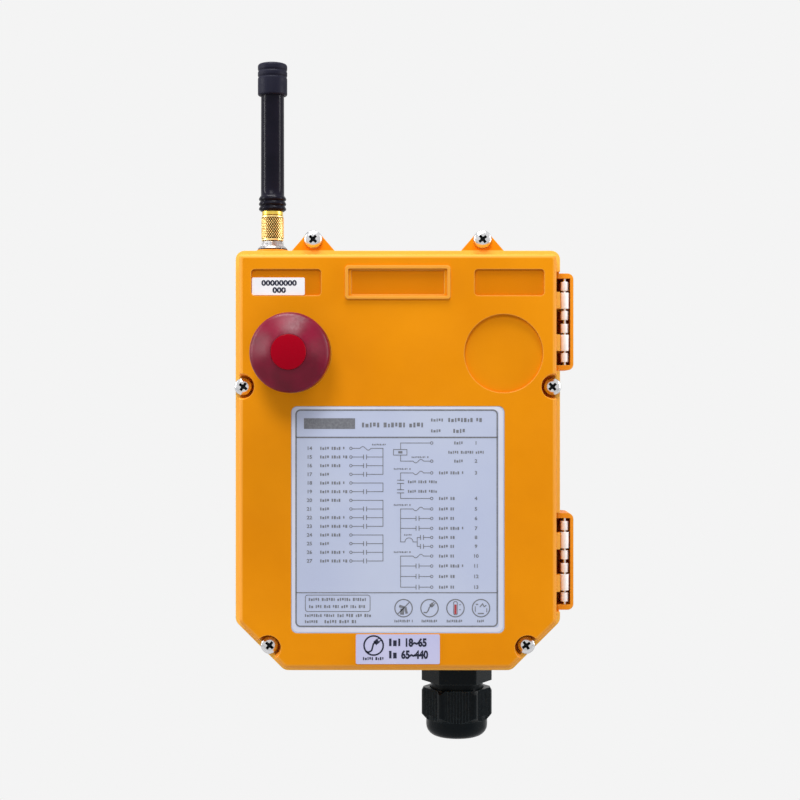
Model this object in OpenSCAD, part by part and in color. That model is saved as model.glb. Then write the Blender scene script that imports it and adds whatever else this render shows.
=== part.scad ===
// Receiver box of a radio remote control for a crane: a two-part plastic housing for a wall or a
// crane girder, with a side-hinged cover, an emergency stop button, a whip aerial and a cable gland.
// The part stands as it hangs on the wall: +Z is up, the wall face lies in the plane Y = 0 and the
// cover looks along -Y. Modules are drawn lying on the wall face (x across, y up, z towards the
// viewer) and as_hung() stands them up.

/* [Housing] */
// Width of the flange at the seam
body_w = 166.4; // [160:0.2:190]
// Height of the flange at the seam, without the ears
body_h = 215.2; // [210:0.2:240]
// Depth from the wall face to the seam
seam_z = 60; // [57:0.5:75]
// Thickness of the housing walls
wall = 3; // [2.4:0.1:3.6]
// Thickness of the housing flange
flange_t = 5; // [4:0.25:6]
// How far the tub stands in from the flange edge
tub_inset = 2.5; // [2.2:0.1:2.9]
// Draft of the tub, from the flange to the rear wall
tub_draft = 1; // [0.4:0.1:2]
// Leg of the two cut corners at the bottom
cut_leg = 25; // [20:0.5:27]
// Rounding where the cut corners meet the sides
cut_r = 5; // [3:0.5:8]
// Rounding of the two top corners
top_r = 4.5; // [3:0.25:7]
// Rounding of the rear edge
rear_edge_r = 3; // [1:0.25:3.5]
// Distance across between the wall inserts
mount_dx = 96; // [88:1:100]
// Distance up between the wall inserts
mount_dy = 150; // [144:1:152]

/* [Cover] */
// Depth of the cover, from the seam to its face
cover_depth = 18; // [16:0.5:24]
// Thickness of the cover flange
cover_flange_t = 5; // [4.5:0.25:6]
// How far the raised face stands in from the flange edge
cover_inset = 2.2; // [2:0.1:2.4]
// Draft of the raised face
cover_draft = 0.7; // [0.2:0.1:1.2]
// Rounding of the face edge
cover_edge_r = 2.1; // [1:0.1:3]
// Thickness of the cover face
cover_wall = 3; // [2.5:0.1:4]
// Width of the flat rim round the seam
rim_w = 6.4; // [6.2:0.1:7.5]
// Width of the gasket cord
gasket_w = 2; // [1.6:0.1:2.2]
// Depth of the gasket groove
gasket_t = 2.5; // [2:0.1:3]

/* [Cover screws] */
// Nominal diameter of the cover screws
screw_d = 5; // [4.6:0.1:5.2]
// Diameter of the screw heads
head_d = 9.4; // [8.6:0.1:9.8]
// Height of the screw heads
head_h = 3.4; // [2.6:0.1:4]
// Height of the side screws above the centre
side_screw_y = 37.8; // [30:0.2:38]
// Distance of the ears from the centre line
ear_x = 43.4; // [30:0.2:46]
// Height of the ear screws above the flange edge
ear_rise = 5.7; // [5:0.1:7]
// Rounding of the ears
ear_r = 4.6; // [4.4:0.1:5.6]
// Width of an ear at the flange edge
ear_base = 22; // [18:0.5:26]

/* [Hinges] */
// Length of a hinge box
hinge_len = 50; // [49:0.5:54]
// Height of the upper hinge box above the centre
hinge_top_y = 71.4; // [71:0.2:74]
// Height of the lower hinge box, below the centre
hinge_low_y = 52.4; // [46:0.2:54]
// Distance of the hinge pin outside the flange edge
hinge_out = 3.1; // [3:0.05:3.4]
// Distance of the hinge pin behind the seam
hinge_back = 2.5; // [2.4:0.05:2.7]
// Diameter of the hinge pins
pin_d = 2; // [1.6:0.1:2.2]
// Diameter of the cover's bushes
bush_big_d = 4.7; // [4.3:0.1:4.9]
// Diameter of the housing's bushes
bush_small_d = 3.8; // [3.4:0.1:4.2]

/* [Emergency stop] */
// Distance of the button from the centre line
button_x = 53.5; // [50:0.5:55]
// Height of the button above the centre
button_y = 54.5; // [52:0.5:56]
// Diameter of the mushroom head
mushroom_d = 40; // [36:0.5:42]
// Height of the mushroom's front above the cover face
mushroom_h = 26; // [25:0.5:30]
// Travel of the button
button_travel = 4; // [3:0.5:5]
// Diameter of the round recess in the cover
recess_d = 39.8; // [36:0.2:42]
// Depth of the round recess
recess_depth = 1.5; // [0.8:0.1:2]
// Diameter of the hole for the button
button_hole_d = 22.3; // [21:0.1:24]

/* [Aerial] */
// Distance of the aerial from the centre line
aerial_x = 67.1; // [64:0.1:69]
// Distance of the aerial from the wall face
aerial_z = 30; // [26:0.5:34]
// Height of the aerial's tip above the top edge of the flange
aerial_h = 103.3; // [80:0.1:140]
// Diameter of the aerial rod
rod_d = 12.5; // [11:0.1:13]
// Diameter of the rubber cap
cap_d = 15.7; // [14.6:0.1:18]
// Length of the rubber cap
cap_len = 17.2; // [14:0.1:25]

/* [Cable gland] */
// Distance of the gland from the centre line
gland_x = 31.5; // [26:0.5:36]
// Distance of the gland from the wall face
gland_z = 28; // [26:0.5:30]
// Width of the gland hexagon across its flats
gland_af = 33; // [32:0.5:35]
// Diameter of the gland thread
gland_thread_d = 28.3; // [27.5:0.1:28.8]
// Diameter of the cable passage
cable_d = 16; // [12:0.5:17]

/* [Labels] */
// Width of the wiring label
wiring_w = 107.6; // [90:0.2:112]
// Height of the wiring label
wiring_h = 114.5; // [100:0.5:115]
// Height of the top edge of the wiring label above the centre
wiring_top = 27.8; // [26:0.2:28.4]
// Width of the voltage label
voltage_w = 42.4; // [30:0.2:60]
// Height of the voltage label
voltage_h = 15; // [10:0.2:15.2]
// Width of the serial label
serial_w = 26.7; // [18:0.1:34]
// Height of the serial label
serial_h = 8.9; // [6:0.1:12]

/* [Electronics] */
// Gap between the main board and the side walls
board_side_gap = 12.7; // [11:0.1:14]
// Gap between the main board and the top and bottom walls
board_end_gap = 13.1; // [12:0.1:15]
// Thickness of the main board
board_t = 1.6; // [1:0.1:2]
// Height of the board above the rear wall
board_lift = 11; // [10.5:0.25:13]
// Number of terminals on the left
left_ways = 14; // [8:1:14]
// Number of terminals on the right
right_ways = 13; // [8:1:14]
// Spacing of the terminals
way_pitch = 7.5; // [7:0.1:7.5]
// Relays in each of the two columns
relays_count = 6; // [3:1:6]

/* [Hidden] */

$fn = 48;
// Overrun of the cuts past the faces they open
over = 1;
// Steps in each rounded corner of an outline
corner_steps = 6;
// Smallest rounding left on an inset corner
least_r = 0.8;
// Clearance between a piece and the seat it drops into
seat_gap = 0.1;
// Running clearance of a bush on its pin, in radius
run_gap = 0.05;
// Clearance between parts that move past each other
move_gap = 0.5;

// Faces of the housing and cover, measured from the wall face
flange_z = seam_z - flange_t;
cover_flange_z = seam_z + cover_flange_t;
face_z = seam_z + cover_depth;
half_w = body_w / 2;
half_h = body_h / 2;
rear_in = tub_inset + tub_draft + wall;

// Screws: edge distance of the four body screws, and how the lower pair sits along the cut corner
screw_edge = 4.15;
cut_slide = 3.1;
shank_share = 0.46;
screw_hole_share = 0.55;
insert_bore_share = 0.56;
insert_share = 0.66;
insert_len_share = 1.4;
insert_sink_share = 0.3;
tip_len_share = 0.4;
tip_share = 0.5;
retainer_share = 0.78;
drive_share = 0.56;
drive_thin_share = 0.13;
drive_deep_share = 0.55;
dome_share = 0.45;
retainer_t = 1;
boss_r = 7;
screw_r = screw_d * shank_share;
screw_hole_r = screw_d * screw_hole_share;
insert_bore_r = screw_d * insert_bore_share;
insert_r = screw_d * insert_share;
insert_len = screw_d * insert_len_share;
insert_sink = screw_d * insert_sink_share;
tip_len = screw_d * tip_len_share;
boss_depth = insert_sink + insert_len + wall / 2;
retainer_r = head_d / 2 * retainer_share;

// Gasket path: inset of the groove, and its way round the screws inside them
gasket_in = 3;
gasket_jog_r = 4.4;
pocket_gap = 0.9;
pocket_flare = 0.9;
pocket_skin = 1.9;
pocket_floor_r = head_d / 2 + pocket_gap;
pocket_mouth_r = pocket_floor_r + pocket_flare;
pocket_wall_r = pocket_mouth_r + pocket_skin;

// Hinge boxes and what turns in them
box_bar = 2.6;
box_wall = 1.6;
box_floor = 2.2;
box_deep = 15;
box_r = 3;
box_out = 4.4;
box_lip = 1.8;
bevel = 8;
group_share = 0.218;
big_len_share = 0.168;
small_len_share = 0.094;
bush_gap_share = 0.02;
arm_half = 1.3;
arm_bite = 1;
saddle_share = 0.45;
bush_seat = 0.02;
hinge_x = half_w + hinge_out;
hinge_z = seam_z - hinge_back;
box_x = hinge_x + box_out;
box_front = hinge_z + box_lip;
box_back = hinge_z - box_deep;
big_len = hinge_len * big_len_share;
small_len = hinge_len * small_len_share;
small_at = big_len / 2 + hinge_len * bush_gap_share + small_len / 2;

// Recesses of the cover face
face_recess_w = 35.3;
face_recess_h = 13.4;
face_recess_r = 1.9;
face_recess_depth = 1;
face_recess_x = 56.4;
face_recess_y = half_h - 17.2;
frame_w = 53;
frame_h = 16.8;
frame_r = 1.5;
frame_raise = 0.9;
frame_land = 1.5;
frame_step = 1.5;
frame_sink = 0.6;
label_recess_depth = 0.4;
label_t = 0.3;
label_r = 3;
small_label_r = 0.8;
label_gap = 0.6;
pad_skin = 4.2;
rib_t = 1.6;
rib_deep = 3;
rib_ends = [-84, 26];
rib_xs_shares = [-0.62, -0.22, 0.22, 0.62];

// Emergency stop: the mushroom's profile and the barrel that carries it
disc_r_share = 0.44;
shoulder_r_share = 0.825;
shoulder_h_share = 0.2;
rim_h_share = 0.54;
rim_edge = 2;
head_skin = 2;
disc_t = 1.2;
stem_d = 10.6;
stem_gap = 0.35;
barrel_wall_share = 0.49;
bezel_d = 29;
bezel_h = 4.5;
bezel_lip = 2;
seal_t = 1;
hub_d = 16.4;
spring_wire = 1.2;
spring_turns = 5;
locknut_d = 31;
locknut_t = 4;
barrel_len = 17;
adapter_w = 30;
adapter_h = 36;
adapter_t = 4;
block_w = 24;
block_h = 34;
block_d = 23;
block_foot_t = 2;
pusher_d = 7;
pusher_len = 9;
hub_drop = 4;
stem_out = 2.5;
clamp_d = 4;
clamp_deep = 3;
clamp_x_share = 0.25;
clamp_y_share = 0.32;
shelf_share = 0.45;
spring_sides = 6;
spring_steps = 14;
button_z = face_z - recess_depth;
pad_z = button_z - cover_wall;
bezel_z = button_z + seal_t;
mushroom_z = face_z + mushroom_h;
rim_z = mushroom_z - rim_h_share * mushroom_h;
hub_z = rim_z - hub_drop;
barrel_z = bezel_z - barrel_len;
shelf_z = bezel_z - shelf_share * barrel_len;
stem_z = barrel_z - stem_out;
block_z = barrel_z - block_d;
barrel_r = button_hole_d * barrel_wall_share;
disc_r = mushroom_d / 2 * disc_r_share;
shoulder_r = mushroom_d / 2 * shoulder_r_share;
shoulder_z = mushroom_z - shoulder_h_share * mushroom_h;
clamps = [for (sx = [-1, 1]) for (sy = [-1, 1]) [sx * clamp_x_share * block_w, sy * clamp_y_share * block_h]];

// Aerial: heights above the top edge of the flange
boss_top_up = 3.4;
washer_t = 2;
hex_t = 3;
nut_gap = 0.1;
coupling_len = 13.3;
ferrule_len = 2.2;
rib_pitch = 2.77;
washer_d = 15.8;
hex_d = 14.2;
coupling_d = 12;
rib_d = 14.7;
bulkhead_d = 9.4;
aerial_boss_d = 17;
inner_pad = 1.6;
shoulder_t = 3;
plug_d = 4.4;
plug_len = 4;
spigot_share = 0.8;
ferrule_d = 11.2;
ferrule_stub_d = 6.4;
rib_deep_in = 1;
rib_up_share = 0.15;
rib_down_share = 0.7;
rib_foot_share = 0.78;
cap_groove = 0.4;
cap_top_share = 0.68;
cap_steps_shares = [[1.4, 1], [0, 0.965], [0, 0.47], [1, 0.445], [1, 0.415], [0, 0.39], [0, 0.275], [1, 0.25],
    [1, 0.22], [0, 0.195], [0, 0.085], [0.8, 0.045], [2.6, 0.012]];
knurls_count = 30;
knurl_deep = 0.45;
hex_taper = 1.6;
lead_d = 2.4;
lead_sides = 8;
lead_steps = 14;
lead_pull_share = 0.6;
stub_share = 0.333;
boss_top = half_h + boss_top_up;
washer_top = boss_top + washer_t;
hex_top = washer_top + hex_t;
coupling_y = hex_top + nut_gap;
coupling_top = coupling_y + coupling_len;
ferrule_top = coupling_top + nut_gap + ferrule_len;
ribs_top = ferrule_top + 3 * rib_pitch;
tip_y = half_h + aerial_h;
cap_y = tip_y - cap_len;
spigot_y = tip_y - cap_len * (1 - 2 * stub_share);
bulkhead_top = coupling_top - coupling_len * stub_share;
aerial_inner_y = half_h - rear_in - inner_pad;

// Cable gland: lengths below the bottom edge of the flange
gland_boss_d = 42;
gland_boss_down = 2.4;
gland_gasket_t = 1;
gland_hex_len = 8;
gland_neck_len = 3.6;
dome_len = 26;
dome_hex_share = 0.55;
dome_round_share = 0.235;
dome_rim = 0.9;
dome_chamfer = 2.5;
dome_step = 0.15;
dome_ribs_count = 9;
dome_rib_deep = 0.45;
dome_pad_deg = 23.4;
corner_trim = 0.3;
mouth_share = 0.6;
gland_inner = 6;
locknut_af_gain = 3;
gland_locknut_t = 4.5;
seal_wall = 3;
claw_wall = 1.5;
claw_step = 1;
claw_slots_count = 8;
claw_slot_w = 1.6;
claw_len = 12.5;
claw_back = 4.5;
gland_y = half_h + gland_boss_down;
gland_hex_y = gland_y + gland_gasket_t;
dome_y = gland_hex_y + gland_hex_len + gland_neck_len;
dome_end = dome_y + dome_len;
gland_inner_y = half_h - rear_in - inner_pad;
gland_r = gland_thread_d / 2;
gland_corner_r = gland_af / 2 / cos(30);
seal_r = cable_d / 2 + seal_wall;
claw_y = dome_end - claw_back - claw_len;

// Electronics on the main board
board_w = 2 * (half_w - rear_in - board_side_gap);
board_h = 2 * (half_h - rear_in - board_end_gap);
board_z = wall + board_lift;
board_top = board_z + board_t;
post_r = 3.6;
post_hole_r = 1.25;
board_hole_r = 1.7;
post_in = 4;
board_screw_d = 3;
board_screw_head_share = 0.7;
strip_w = 11;
strip_h = 14;
strip_in = 9;
strip_low = 8;
way_slot = 4.4;
strip_step_share = 0.68;
relay_w = 20;
relay_h = 15.4;
relay_t = 16;
relay_pitch = 17.6;
relay_in = 27.5;
fuse_d = 5;
fuse_len = 20;
fuse_pitch = 11;
fuse_lift = 5.5;
clip_at_share = 0.38;
clip_w_share = 1.4;
trafo_w = 44;
trafo_h = 37;
trafo_t = 28;
trafo_x = 12;
trafo_down = 30;
core_share = 0.8;
cap_can_d = 12.5;
cap_can_h = 20;
can_pitch = 16;
radio_w = 38;
radio_h = 26;
radio_lift = 6;
radio_t = 1.2;
radio_x = -30;
radio_down = 16;
shield_w = 24;
shield_h = 18;
shield_t = 4;
shield_off = 4;
header_w = 2.5;
header_share = 0.7;
chip_w = 14;
chip_t = 1.6;
chip_y = 10;
led_d = 3;
led_h = 5;
led_pitch = 7;
led_y = 32;
leds_count = 5;
wall_insert_r = 4;
wall_insert_bore_r = 2.5;
wall_insert_len = 9;
wall_boss_r = 6.5;
wall_boss_h = 7.8;
trafo_y = board_h / 2 - trafo_down;
radio_y = board_h / 2 - radio_down;
radio_top = board_top + radio_lift + radio_t;
shield_x = radio_x + shield_off;
fuse_ys = [for (k = [0:3]) -board_h / 2 + strip_low + fuse_d + k * fuse_pitch];

// A vector of length one
function unit(v) = v / norm(v);

// Arc that rounds the corner p between the points a and b
function corner(a, p, b, r) =
    let (u = unit(a - p), v = unit(b - p), half = acos(u * v) / 2,
        c = p + unit(u + v) * r / sin(half), s = p + u * r / tan(half) - c,
        start = atan2(s.y, s.x), turn = 180 - 2 * half)
    [for (k = [0:corner_steps]) c + r * [cos(start + turn * k / corner_steps),
        sin(start + turn * k / corner_steps)]];

// Outline with every corner rounded, from corner points and their radii
function rounded(points, radii) =
    let (n = len(points))
    [for (k = [0:n - 1]) each corner(points[(k + n - 1) % n], points[k], points[(k + 1) % n], radii[k])];

// Rounded rectangle about the origin
function plate_points(w, h, r) =
    rounded([[-w, -h], [w, -h], [w, h], [-w, h]] / 2, [r, r, r, r]);

// Body outline, moved in by a distance all round
function outline(inset) =
    let (w = half_w - inset, h = half_h - inset, cut = cut_leg - inset * (2 - sqrt(2)),
        lower = max(cut_r - inset / 2, least_r), upper = max(top_r - inset, least_r))
    rounded([[cut - w, -h], [w - cut, -h], [w, cut - h], [w, h], [-w, h], [-w, cut - h]],
        [lower, lower, lower, upper, upper, lower]);

function ring(inset, z) = [for (p = outline(inset)) [p.x, p.y, z]];

// Inset of the drafted tub wall at a height above the wall face
function side_inset(z) = tub_inset + tub_draft * (1 - z / flange_z);

// Places of the screws: the four inside the outline, and the two on the ears
cut_mid = [half_w - cut_leg / 2, cut_leg / 2 - half_h];
low_screw = cut_mid + (screw_edge * [-1, 1] - cut_slide * [1, 1]) / sqrt(2);
body_screws = [for (s = [-1, 1]) each [[s * (half_w - screw_edge), side_screw_y],
    [s * low_screw.x, low_screw.y]]];
ear_screws = [for (s = [-1, 1]) [s * ear_x, half_h + ear_rise]];
all_screws = concat(body_screws, ear_screws);

hinge_ys = [hinge_top_y, -hinge_low_y];
bush_groups = [for (y = hinge_ys) for (s = [-1, 1]) y + s * group_share * hinge_len];
button_at = [-button_x, button_y];
posts = [for (sx = [-1, 1]) for (sy = [-1, 1]) [sx * (board_w / 2 - post_in), sy * (board_h / 2 - post_in)]];
wall_points = [for (sx = [-1, 1]) for (sy = [-1, 1]) [sx * mount_dx, sy * mount_dy] / 2];

// Stands a piece up from the wall face
module as_hung() rotate([90, 0, 0]) children();

// Turns a piece drawn along z to point up, or down, at a place on the housing
module pointing_up(x, z) translate([x, 0, z]) rotate([-90, 0, 0]) children();
module pointing_down(x, z) translate([x, 0, z]) rotate([90, 0, 0]) children();

// Solid through a list of rings with the same number of points
module loft(rings)
{
    n = len(rings[0]);
    last = (len(rings) - 1) * n;
    polyhedron(
        points = [for (r = rings) each r],
        faces = [
            [for (k = [0:n - 1]) k],
            [for (k = [n - 1:-1:0]) last + k],
            for (j = [0:len(rings) - 2]) for (k = [0:n - 1])
                let (a = j * n + k, b = j * n + (k + 1) % n)
                each [[a, a + n, b + n], [a, b + n, b]]
        ]);
}

module plate(w, h, r, t) linear_extrude(t) polygon(plate_points(w, h, r));

module tube(r_out, r_in, h)
{
    difference() {
        cylinder(r = r_out, h = h);
        translate([0, 0, -over]) cylinder(r = r_in, h = h + 2 * over);
    }
}

// Flat slab inside the body outline that keeps clear of the four body screws
module inner_slab(inset, clear_r, z0, h)
{
    difference() {
        translate([0, 0, z0]) linear_extrude(h) polygon(outline(inset));
        for (p = body_screws) translate([p.x, p.y, z0 - over]) cylinder(r = clear_r, h = h + 2 * over);
    }
}

// Ear on the top edge: a triangle whose tip is rounded about its screw
module ear(side, z0, h)
{
    b = ear_base / 2;
    far = norm([b, ear_rise]);
    lean = atan2(ear_rise, b) + asin(ear_r / far);
    translate([side * ear_x, half_h, z0]) linear_extrude(h)
        polygon(concat([[-b, 0], [-b, -rim_w / 2], [b, -rim_w / 2], [b, 0]],
            [for (k = [0:2 * corner_steps]) let (a = 90 - lean + 2 * lean * k / (2 * corner_steps))
                [ear_r * cos(a), ear_rise + ear_r * sin(a)]]));
}

// Slab with the outline of a hinge box, grown all round by a margin
module box_slab(y, from_x, margin, z0, h)
{
    w = box_x + margin - from_x;
    len = hinge_len + 2 * margin;
    translate([from_x, y - len / 2, z0]) linear_extrude(h)
        polygon(concat([[0, 0]], corner([0, 0], [w, 0], [w, len], box_r),
            corner([w, 0], [w, len], [0, len], box_r), [[0, len]]));
}

module screw_boss(p)
{
    intersection() {
        translate([p.x, p.y, seam_z - boss_depth]) cylinder(r = boss_r, h = boss_depth);
        translate([0, 0, seam_z - boss_depth]) linear_extrude(boss_depth) polygon(outline(0));
    }
}

module insert_hole(p)
{
    translate([p.x, p.y, seam_z - insert_sink - insert_len])
        cylinder(r = insert_r, h = insert_len + insert_sink + over);
}

module hinge_box(y)
{
    low = box_back - box_floor - bevel;
    difference() {
        box_slab(y, half_w - tub_inset - wall / 2, 0, low, box_front - low);
        translate([0, y + hinge_len, 0]) rotate([90, 0, 0]) linear_extrude(2 * hinge_len)
            polygon([[box_x + over, low - over], [box_x + over, low + bevel], [box_x, low + bevel],
                [half_w - tub_inset, low], [half_w - tub_inset - wall, low],
                [half_w - tub_inset - wall, low - over]]);
    }
}

module hinge_pocket(y)
{
    translate([half_w - tub_inset, y - hinge_len / 2 + box_bar, box_back])
        cube([box_x - box_wall - half_w + tub_inset, hinge_len - 2 * box_bar, box_deep + cover_depth]);
}

// Arm that holds a housing bush from behind
module bush_arm(y)
{
    r = bush_small_d / 2;
    difference() {
        translate([hinge_x - r, y - small_len / 2, box_back - box_floor / 2])
            cube([2 * r, small_len, box_deep + box_floor / 2 - saddle_share * r]);
        pointing_up(hinge_x, hinge_z) translate([0, 0, y - small_len])
            cylinder(r = r + bush_seat, h = 2 * small_len);
    }
}

module rear_housing()
{
    color("orange") as_hung() difference() {
        union() {
            difference() {
                union() {
                    loft(concat(
                        [for (a = [90:-30:0]) ring(side_inset(rear_edge_r) + rear_edge_r * (1 - cos(a)),
                            rear_edge_r * (1 - sin(a)))],
                        [ring(tub_inset, flange_z), ring(tub_inset, flange_z + flange_t / 2)]));
                    translate([0, 0, flange_z]) linear_extrude(flange_t) polygon(outline(0));
                    for (s = [-1, 1]) ear(s, seam_z - boss_depth, boss_depth);
                    for (y = hinge_ys) hinge_box(y);
                    pointing_up(-aerial_x, aerial_z) cylinder(d = aerial_boss_d, h = boss_top);
                    pointing_down(gland_x, gland_z) cylinder(d = gland_boss_d, h = gland_y);
                    for (p = body_screws) screw_boss(p);
                }
                loft([ring(side_inset(wall) + wall, wall), ring(tub_inset + wall, flange_z),
                    ring(tub_inset + wall, seam_z + over)]);
                for (y = hinge_ys) hinge_pocket(y);
            }
            for (p = body_screws) screw_boss(p);
            pointing_up(-aerial_x, aerial_z)
                translate([0, 0, aerial_inner_y]) cylinder(d = aerial_boss_d, h = half_h - aerial_inner_y);
            pointing_down(gland_x, gland_z)
                translate([0, 0, gland_inner_y]) cylinder(d = gland_boss_d, h = half_h - gland_inner_y);
            for (y = bush_groups) for (s = [-1, 1]) bush_arm(y + s * small_at);
            for (p = posts) translate([p.x, p.y, wall / 2]) cylinder(r = post_r, h = board_z - wall / 2);
            for (p = wall_points) translate([p.x, p.y, wall / 2])
                cylinder(r = wall_boss_r, h = wall_boss_h + wall / 2);
        }
        for (p = all_screws) insert_hole(p);
        for (p = posts) translate([p.x, p.y, wall]) cylinder(r = post_hole_r, h = board_z);
        for (p = wall_points) translate([p.x, p.y, -over])
            cylinder(r = wall_insert_r, h = wall_insert_len + over);
        pointing_up(-aerial_x, aerial_z) translate([0, 0, aerial_inner_y - over])
            cylinder(d = bulkhead_d + 2 * seat_gap, h = boss_top - aerial_inner_y + 2 * over);
        pointing_down(gland_x, gland_z) translate([0, 0, gland_inner_y - over])
            cylinder(r = gland_r + seat_gap, h = gland_y - gland_inner_y + 2 * over);
        for (y = hinge_ys) pointing_up(hinge_x, hinge_z)
            translate([0, 0, y - hinge_len / 2 + box_bar / 2])
                cylinder(d = pin_d + 2 * run_gap, h = hinge_len);
    }
}

// Arm that carries a cover bush: forward along the cover's side, then out to the pin
module cover_arm(y)
{
    inner = half_w - tub_inset + move_gap;
    root = half_w - cover_inset - arm_bite;
    translate([0, y + big_len / 2, 0]) rotate([90, 0, 0]) linear_extrude(big_len)
        polygon([[inner, hinge_z - arm_half], [hinge_x, hinge_z - arm_half], [hinge_x, hinge_z + arm_half],
            [half_w, hinge_z + arm_half], [half_w, cover_flange_z], [root, cover_flange_z],
            [root, seam_z], [inner, seam_z]]);
}

module screw_pocket(p)
{
    translate([p.x, p.y, cover_flange_z])
        cylinder(r1 = pocket_floor_r, r2 = pocket_mouth_r, h = face_z - cover_flange_z);
    translate([p.x, p.y, face_z]) cylinder(r = pocket_mouth_r, h = over);
}

module front_cover()
{
    color("orange") as_hung() difference() {
        union() {
            difference() {
                union() {
                    translate([0, 0, seam_z]) linear_extrude(cover_flange_t) polygon(outline(0));
                    for (s = [-1, 1]) ear(s, seam_z, cover_flange_t);
                }
                for (y = hinge_ys)
                    box_slab(y, half_w - cover_inset, move_gap, seam_z - over, cover_flange_t + 2 * over);
                inner_slab(rim_w, pocket_wall_r, seam_z - over, cover_flange_t + 2 * over);
            }
            difference() {
                loft(concat([ring(cover_inset, cover_flange_z - cover_flange_t / 2)],
                    [for (a = [0:22.5:90]) ring(cover_inset + cover_draft + cover_edge_r * (1 - cos(a)),
                        face_z - cover_edge_r * (1 - sin(a)))]));
                inner_slab(rim_w, pocket_wall_r, seam_z - over, cover_depth - cover_wall + over);
            }
            for (s = [-1, 1]) translate([s * button_x, button_y, pad_z])
                cylinder(d = recess_d + 2 * pad_skin, h = face_z - cover_wall / 2 - pad_z);
            for (y = bush_groups) cover_arm(y);
            for (share = rib_xs_shares)
                translate([share * wiring_w - rib_t / 2, rib_ends.x, face_z - cover_wall - rib_deep])
                    cube([rib_t, rib_ends.y - rib_ends.x, rib_deep + cover_wall / 2]);
            translate([0, face_recess_y, face_z - cover_wall / 2])
                plate(frame_w, frame_h, frame_r, frame_raise + cover_wall / 2);
        }
        for (p = body_screws) screw_pocket(p);
        for (p = all_screws) {
            translate([p.x, p.y, seam_z - over]) cylinder(r = screw_hole_r, h = cover_flange_t + 2 * over);
            translate([p.x, p.y, seam_z - over]) cylinder(r = retainer_r + seat_gap, h = retainer_t + over);
        }
        difference() {
            inner_slab(gasket_in, gasket_jog_r, seam_z, gasket_t);
            inner_slab(gasket_in + gasket_w, gasket_jog_r + gasket_w, seam_z - over, gasket_t + 2 * over);
        }
        for (s = [-1, 1]) {
            translate([s * button_x, button_y, button_z]) cylinder(d = recess_d, h = recess_depth + over);
            translate([s * face_recess_x, face_recess_y, face_z - face_recess_depth])
                plate(face_recess_w, face_recess_h, face_recess_r, face_recess_depth + over);
        }
        translate([button_at.x, button_at.y, pad_z - over])
            cylinder(d = button_hole_d, h = cover_wall + 2 * over);
        translate([0, face_recess_y, face_z])
            plate(frame_w - 2 * frame_land, frame_h - 2 * frame_land, frame_r / 2, frame_raise + over);
        translate([0, face_recess_y, face_z - frame_sink])
            plate(frame_w - 2 * frame_land - 2 * frame_step, frame_h - 2 * frame_land - frame_step,
                frame_r / 2, frame_sink + over);
        translate([0, wiring_top - wiring_h / 2, face_z - label_recess_depth])
            plate(wiring_w + 2 * seat_gap, wiring_h + 2 * seat_gap, label_r + seat_gap,
                label_recess_depth + over);
        for (y = bush_groups) pointing_up(hinge_x, hinge_z) translate([0, 0, y - big_len])
            cylinder(r = bush_big_d / 2 + bush_seat, h = 2 * big_len);
    }
}

module cover_gasket()
{
    color("dimgray") as_hung() difference() {
        inner_slab(gasket_in, gasket_jog_r, seam_z, gasket_t);
        inner_slab(gasket_in + gasket_w, gasket_jog_r + gasket_w, seam_z - over, gasket_t + 2 * over);
    }
}

module cover_screw()
{
    r = head_d / 2;
    difference() {
        union() {
            rotate_extrude() polygon(concat([[0, 0], [r, 0], [r, head_h * (1 - dome_share)]],
                [for (a = [15:15:90]) [r * cos(a), head_h * (1 - dome_share + dome_share * sin(a))]]));
            translate([0, 0, -cover_flange_t - screw_d + tip_len])
                cylinder(r = screw_r, h = cover_flange_t + screw_d);
            translate([0, 0, -cover_flange_t - screw_d])
                cylinder(r1 = screw_r * tip_share, r2 = screw_r, h = tip_len);
        }
        for (a = [45, 135]) rotate([0, 0, a]) translate([-r * drive_share, -r * drive_thin_share,
            head_h * (1 - drive_deep_share)]) cube([2 * r * drive_share, 2 * r * drive_thin_share, head_h]);
    }
}

module cover_screws()
{
    color("silver") as_hung() for (p = all_screws) translate([p.x, p.y, cover_flange_z]) cover_screw();
}

module screw_retainers()
{
    color("white") as_hung() for (p = all_screws)
        translate([p.x, p.y, seam_z]) tube(retainer_r, screw_r + run_gap, retainer_t);
}

module cover_inserts()
{
    color("goldenrod") as_hung() for (p = all_screws)
        translate([p.x, p.y, seam_z - insert_sink - insert_len]) tube(insert_r, insert_bore_r, insert_len);
}

module wall_inserts()
{
    color("goldenrod") as_hung() for (p = wall_points)
        translate([p.x, p.y, 0]) tube(wall_insert_r, wall_insert_bore_r, wall_insert_len);
}

module hinge_pins()
{
    color("silver") as_hung() for (y = hinge_ys) pointing_up(hinge_x, hinge_z)
        translate([0, 0, y - hinge_len / 2 + box_bar / 2]) cylinder(d = pin_d, h = hinge_len - box_bar);
}

module housing_bushes()
{
    color("mistyrose") as_hung() for (y = bush_groups) for (s = [-1, 1]) pointing_up(hinge_x, hinge_z)
        translate([0, 0, y + s * small_at - small_len / 2])
            tube(bush_small_d / 2, pin_d / 2 + run_gap, small_len);
}

module cover_bushes()
{
    color("mistyrose") as_hung() for (y = bush_groups) pointing_up(hinge_x, hinge_z)
        translate([0, 0, y - big_len / 2]) tube(bush_big_d / 2, pin_d / 2 + run_gap, big_len);
}

module on_button() translate([button_at.x, button_at.y, 0]) children();

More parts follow.
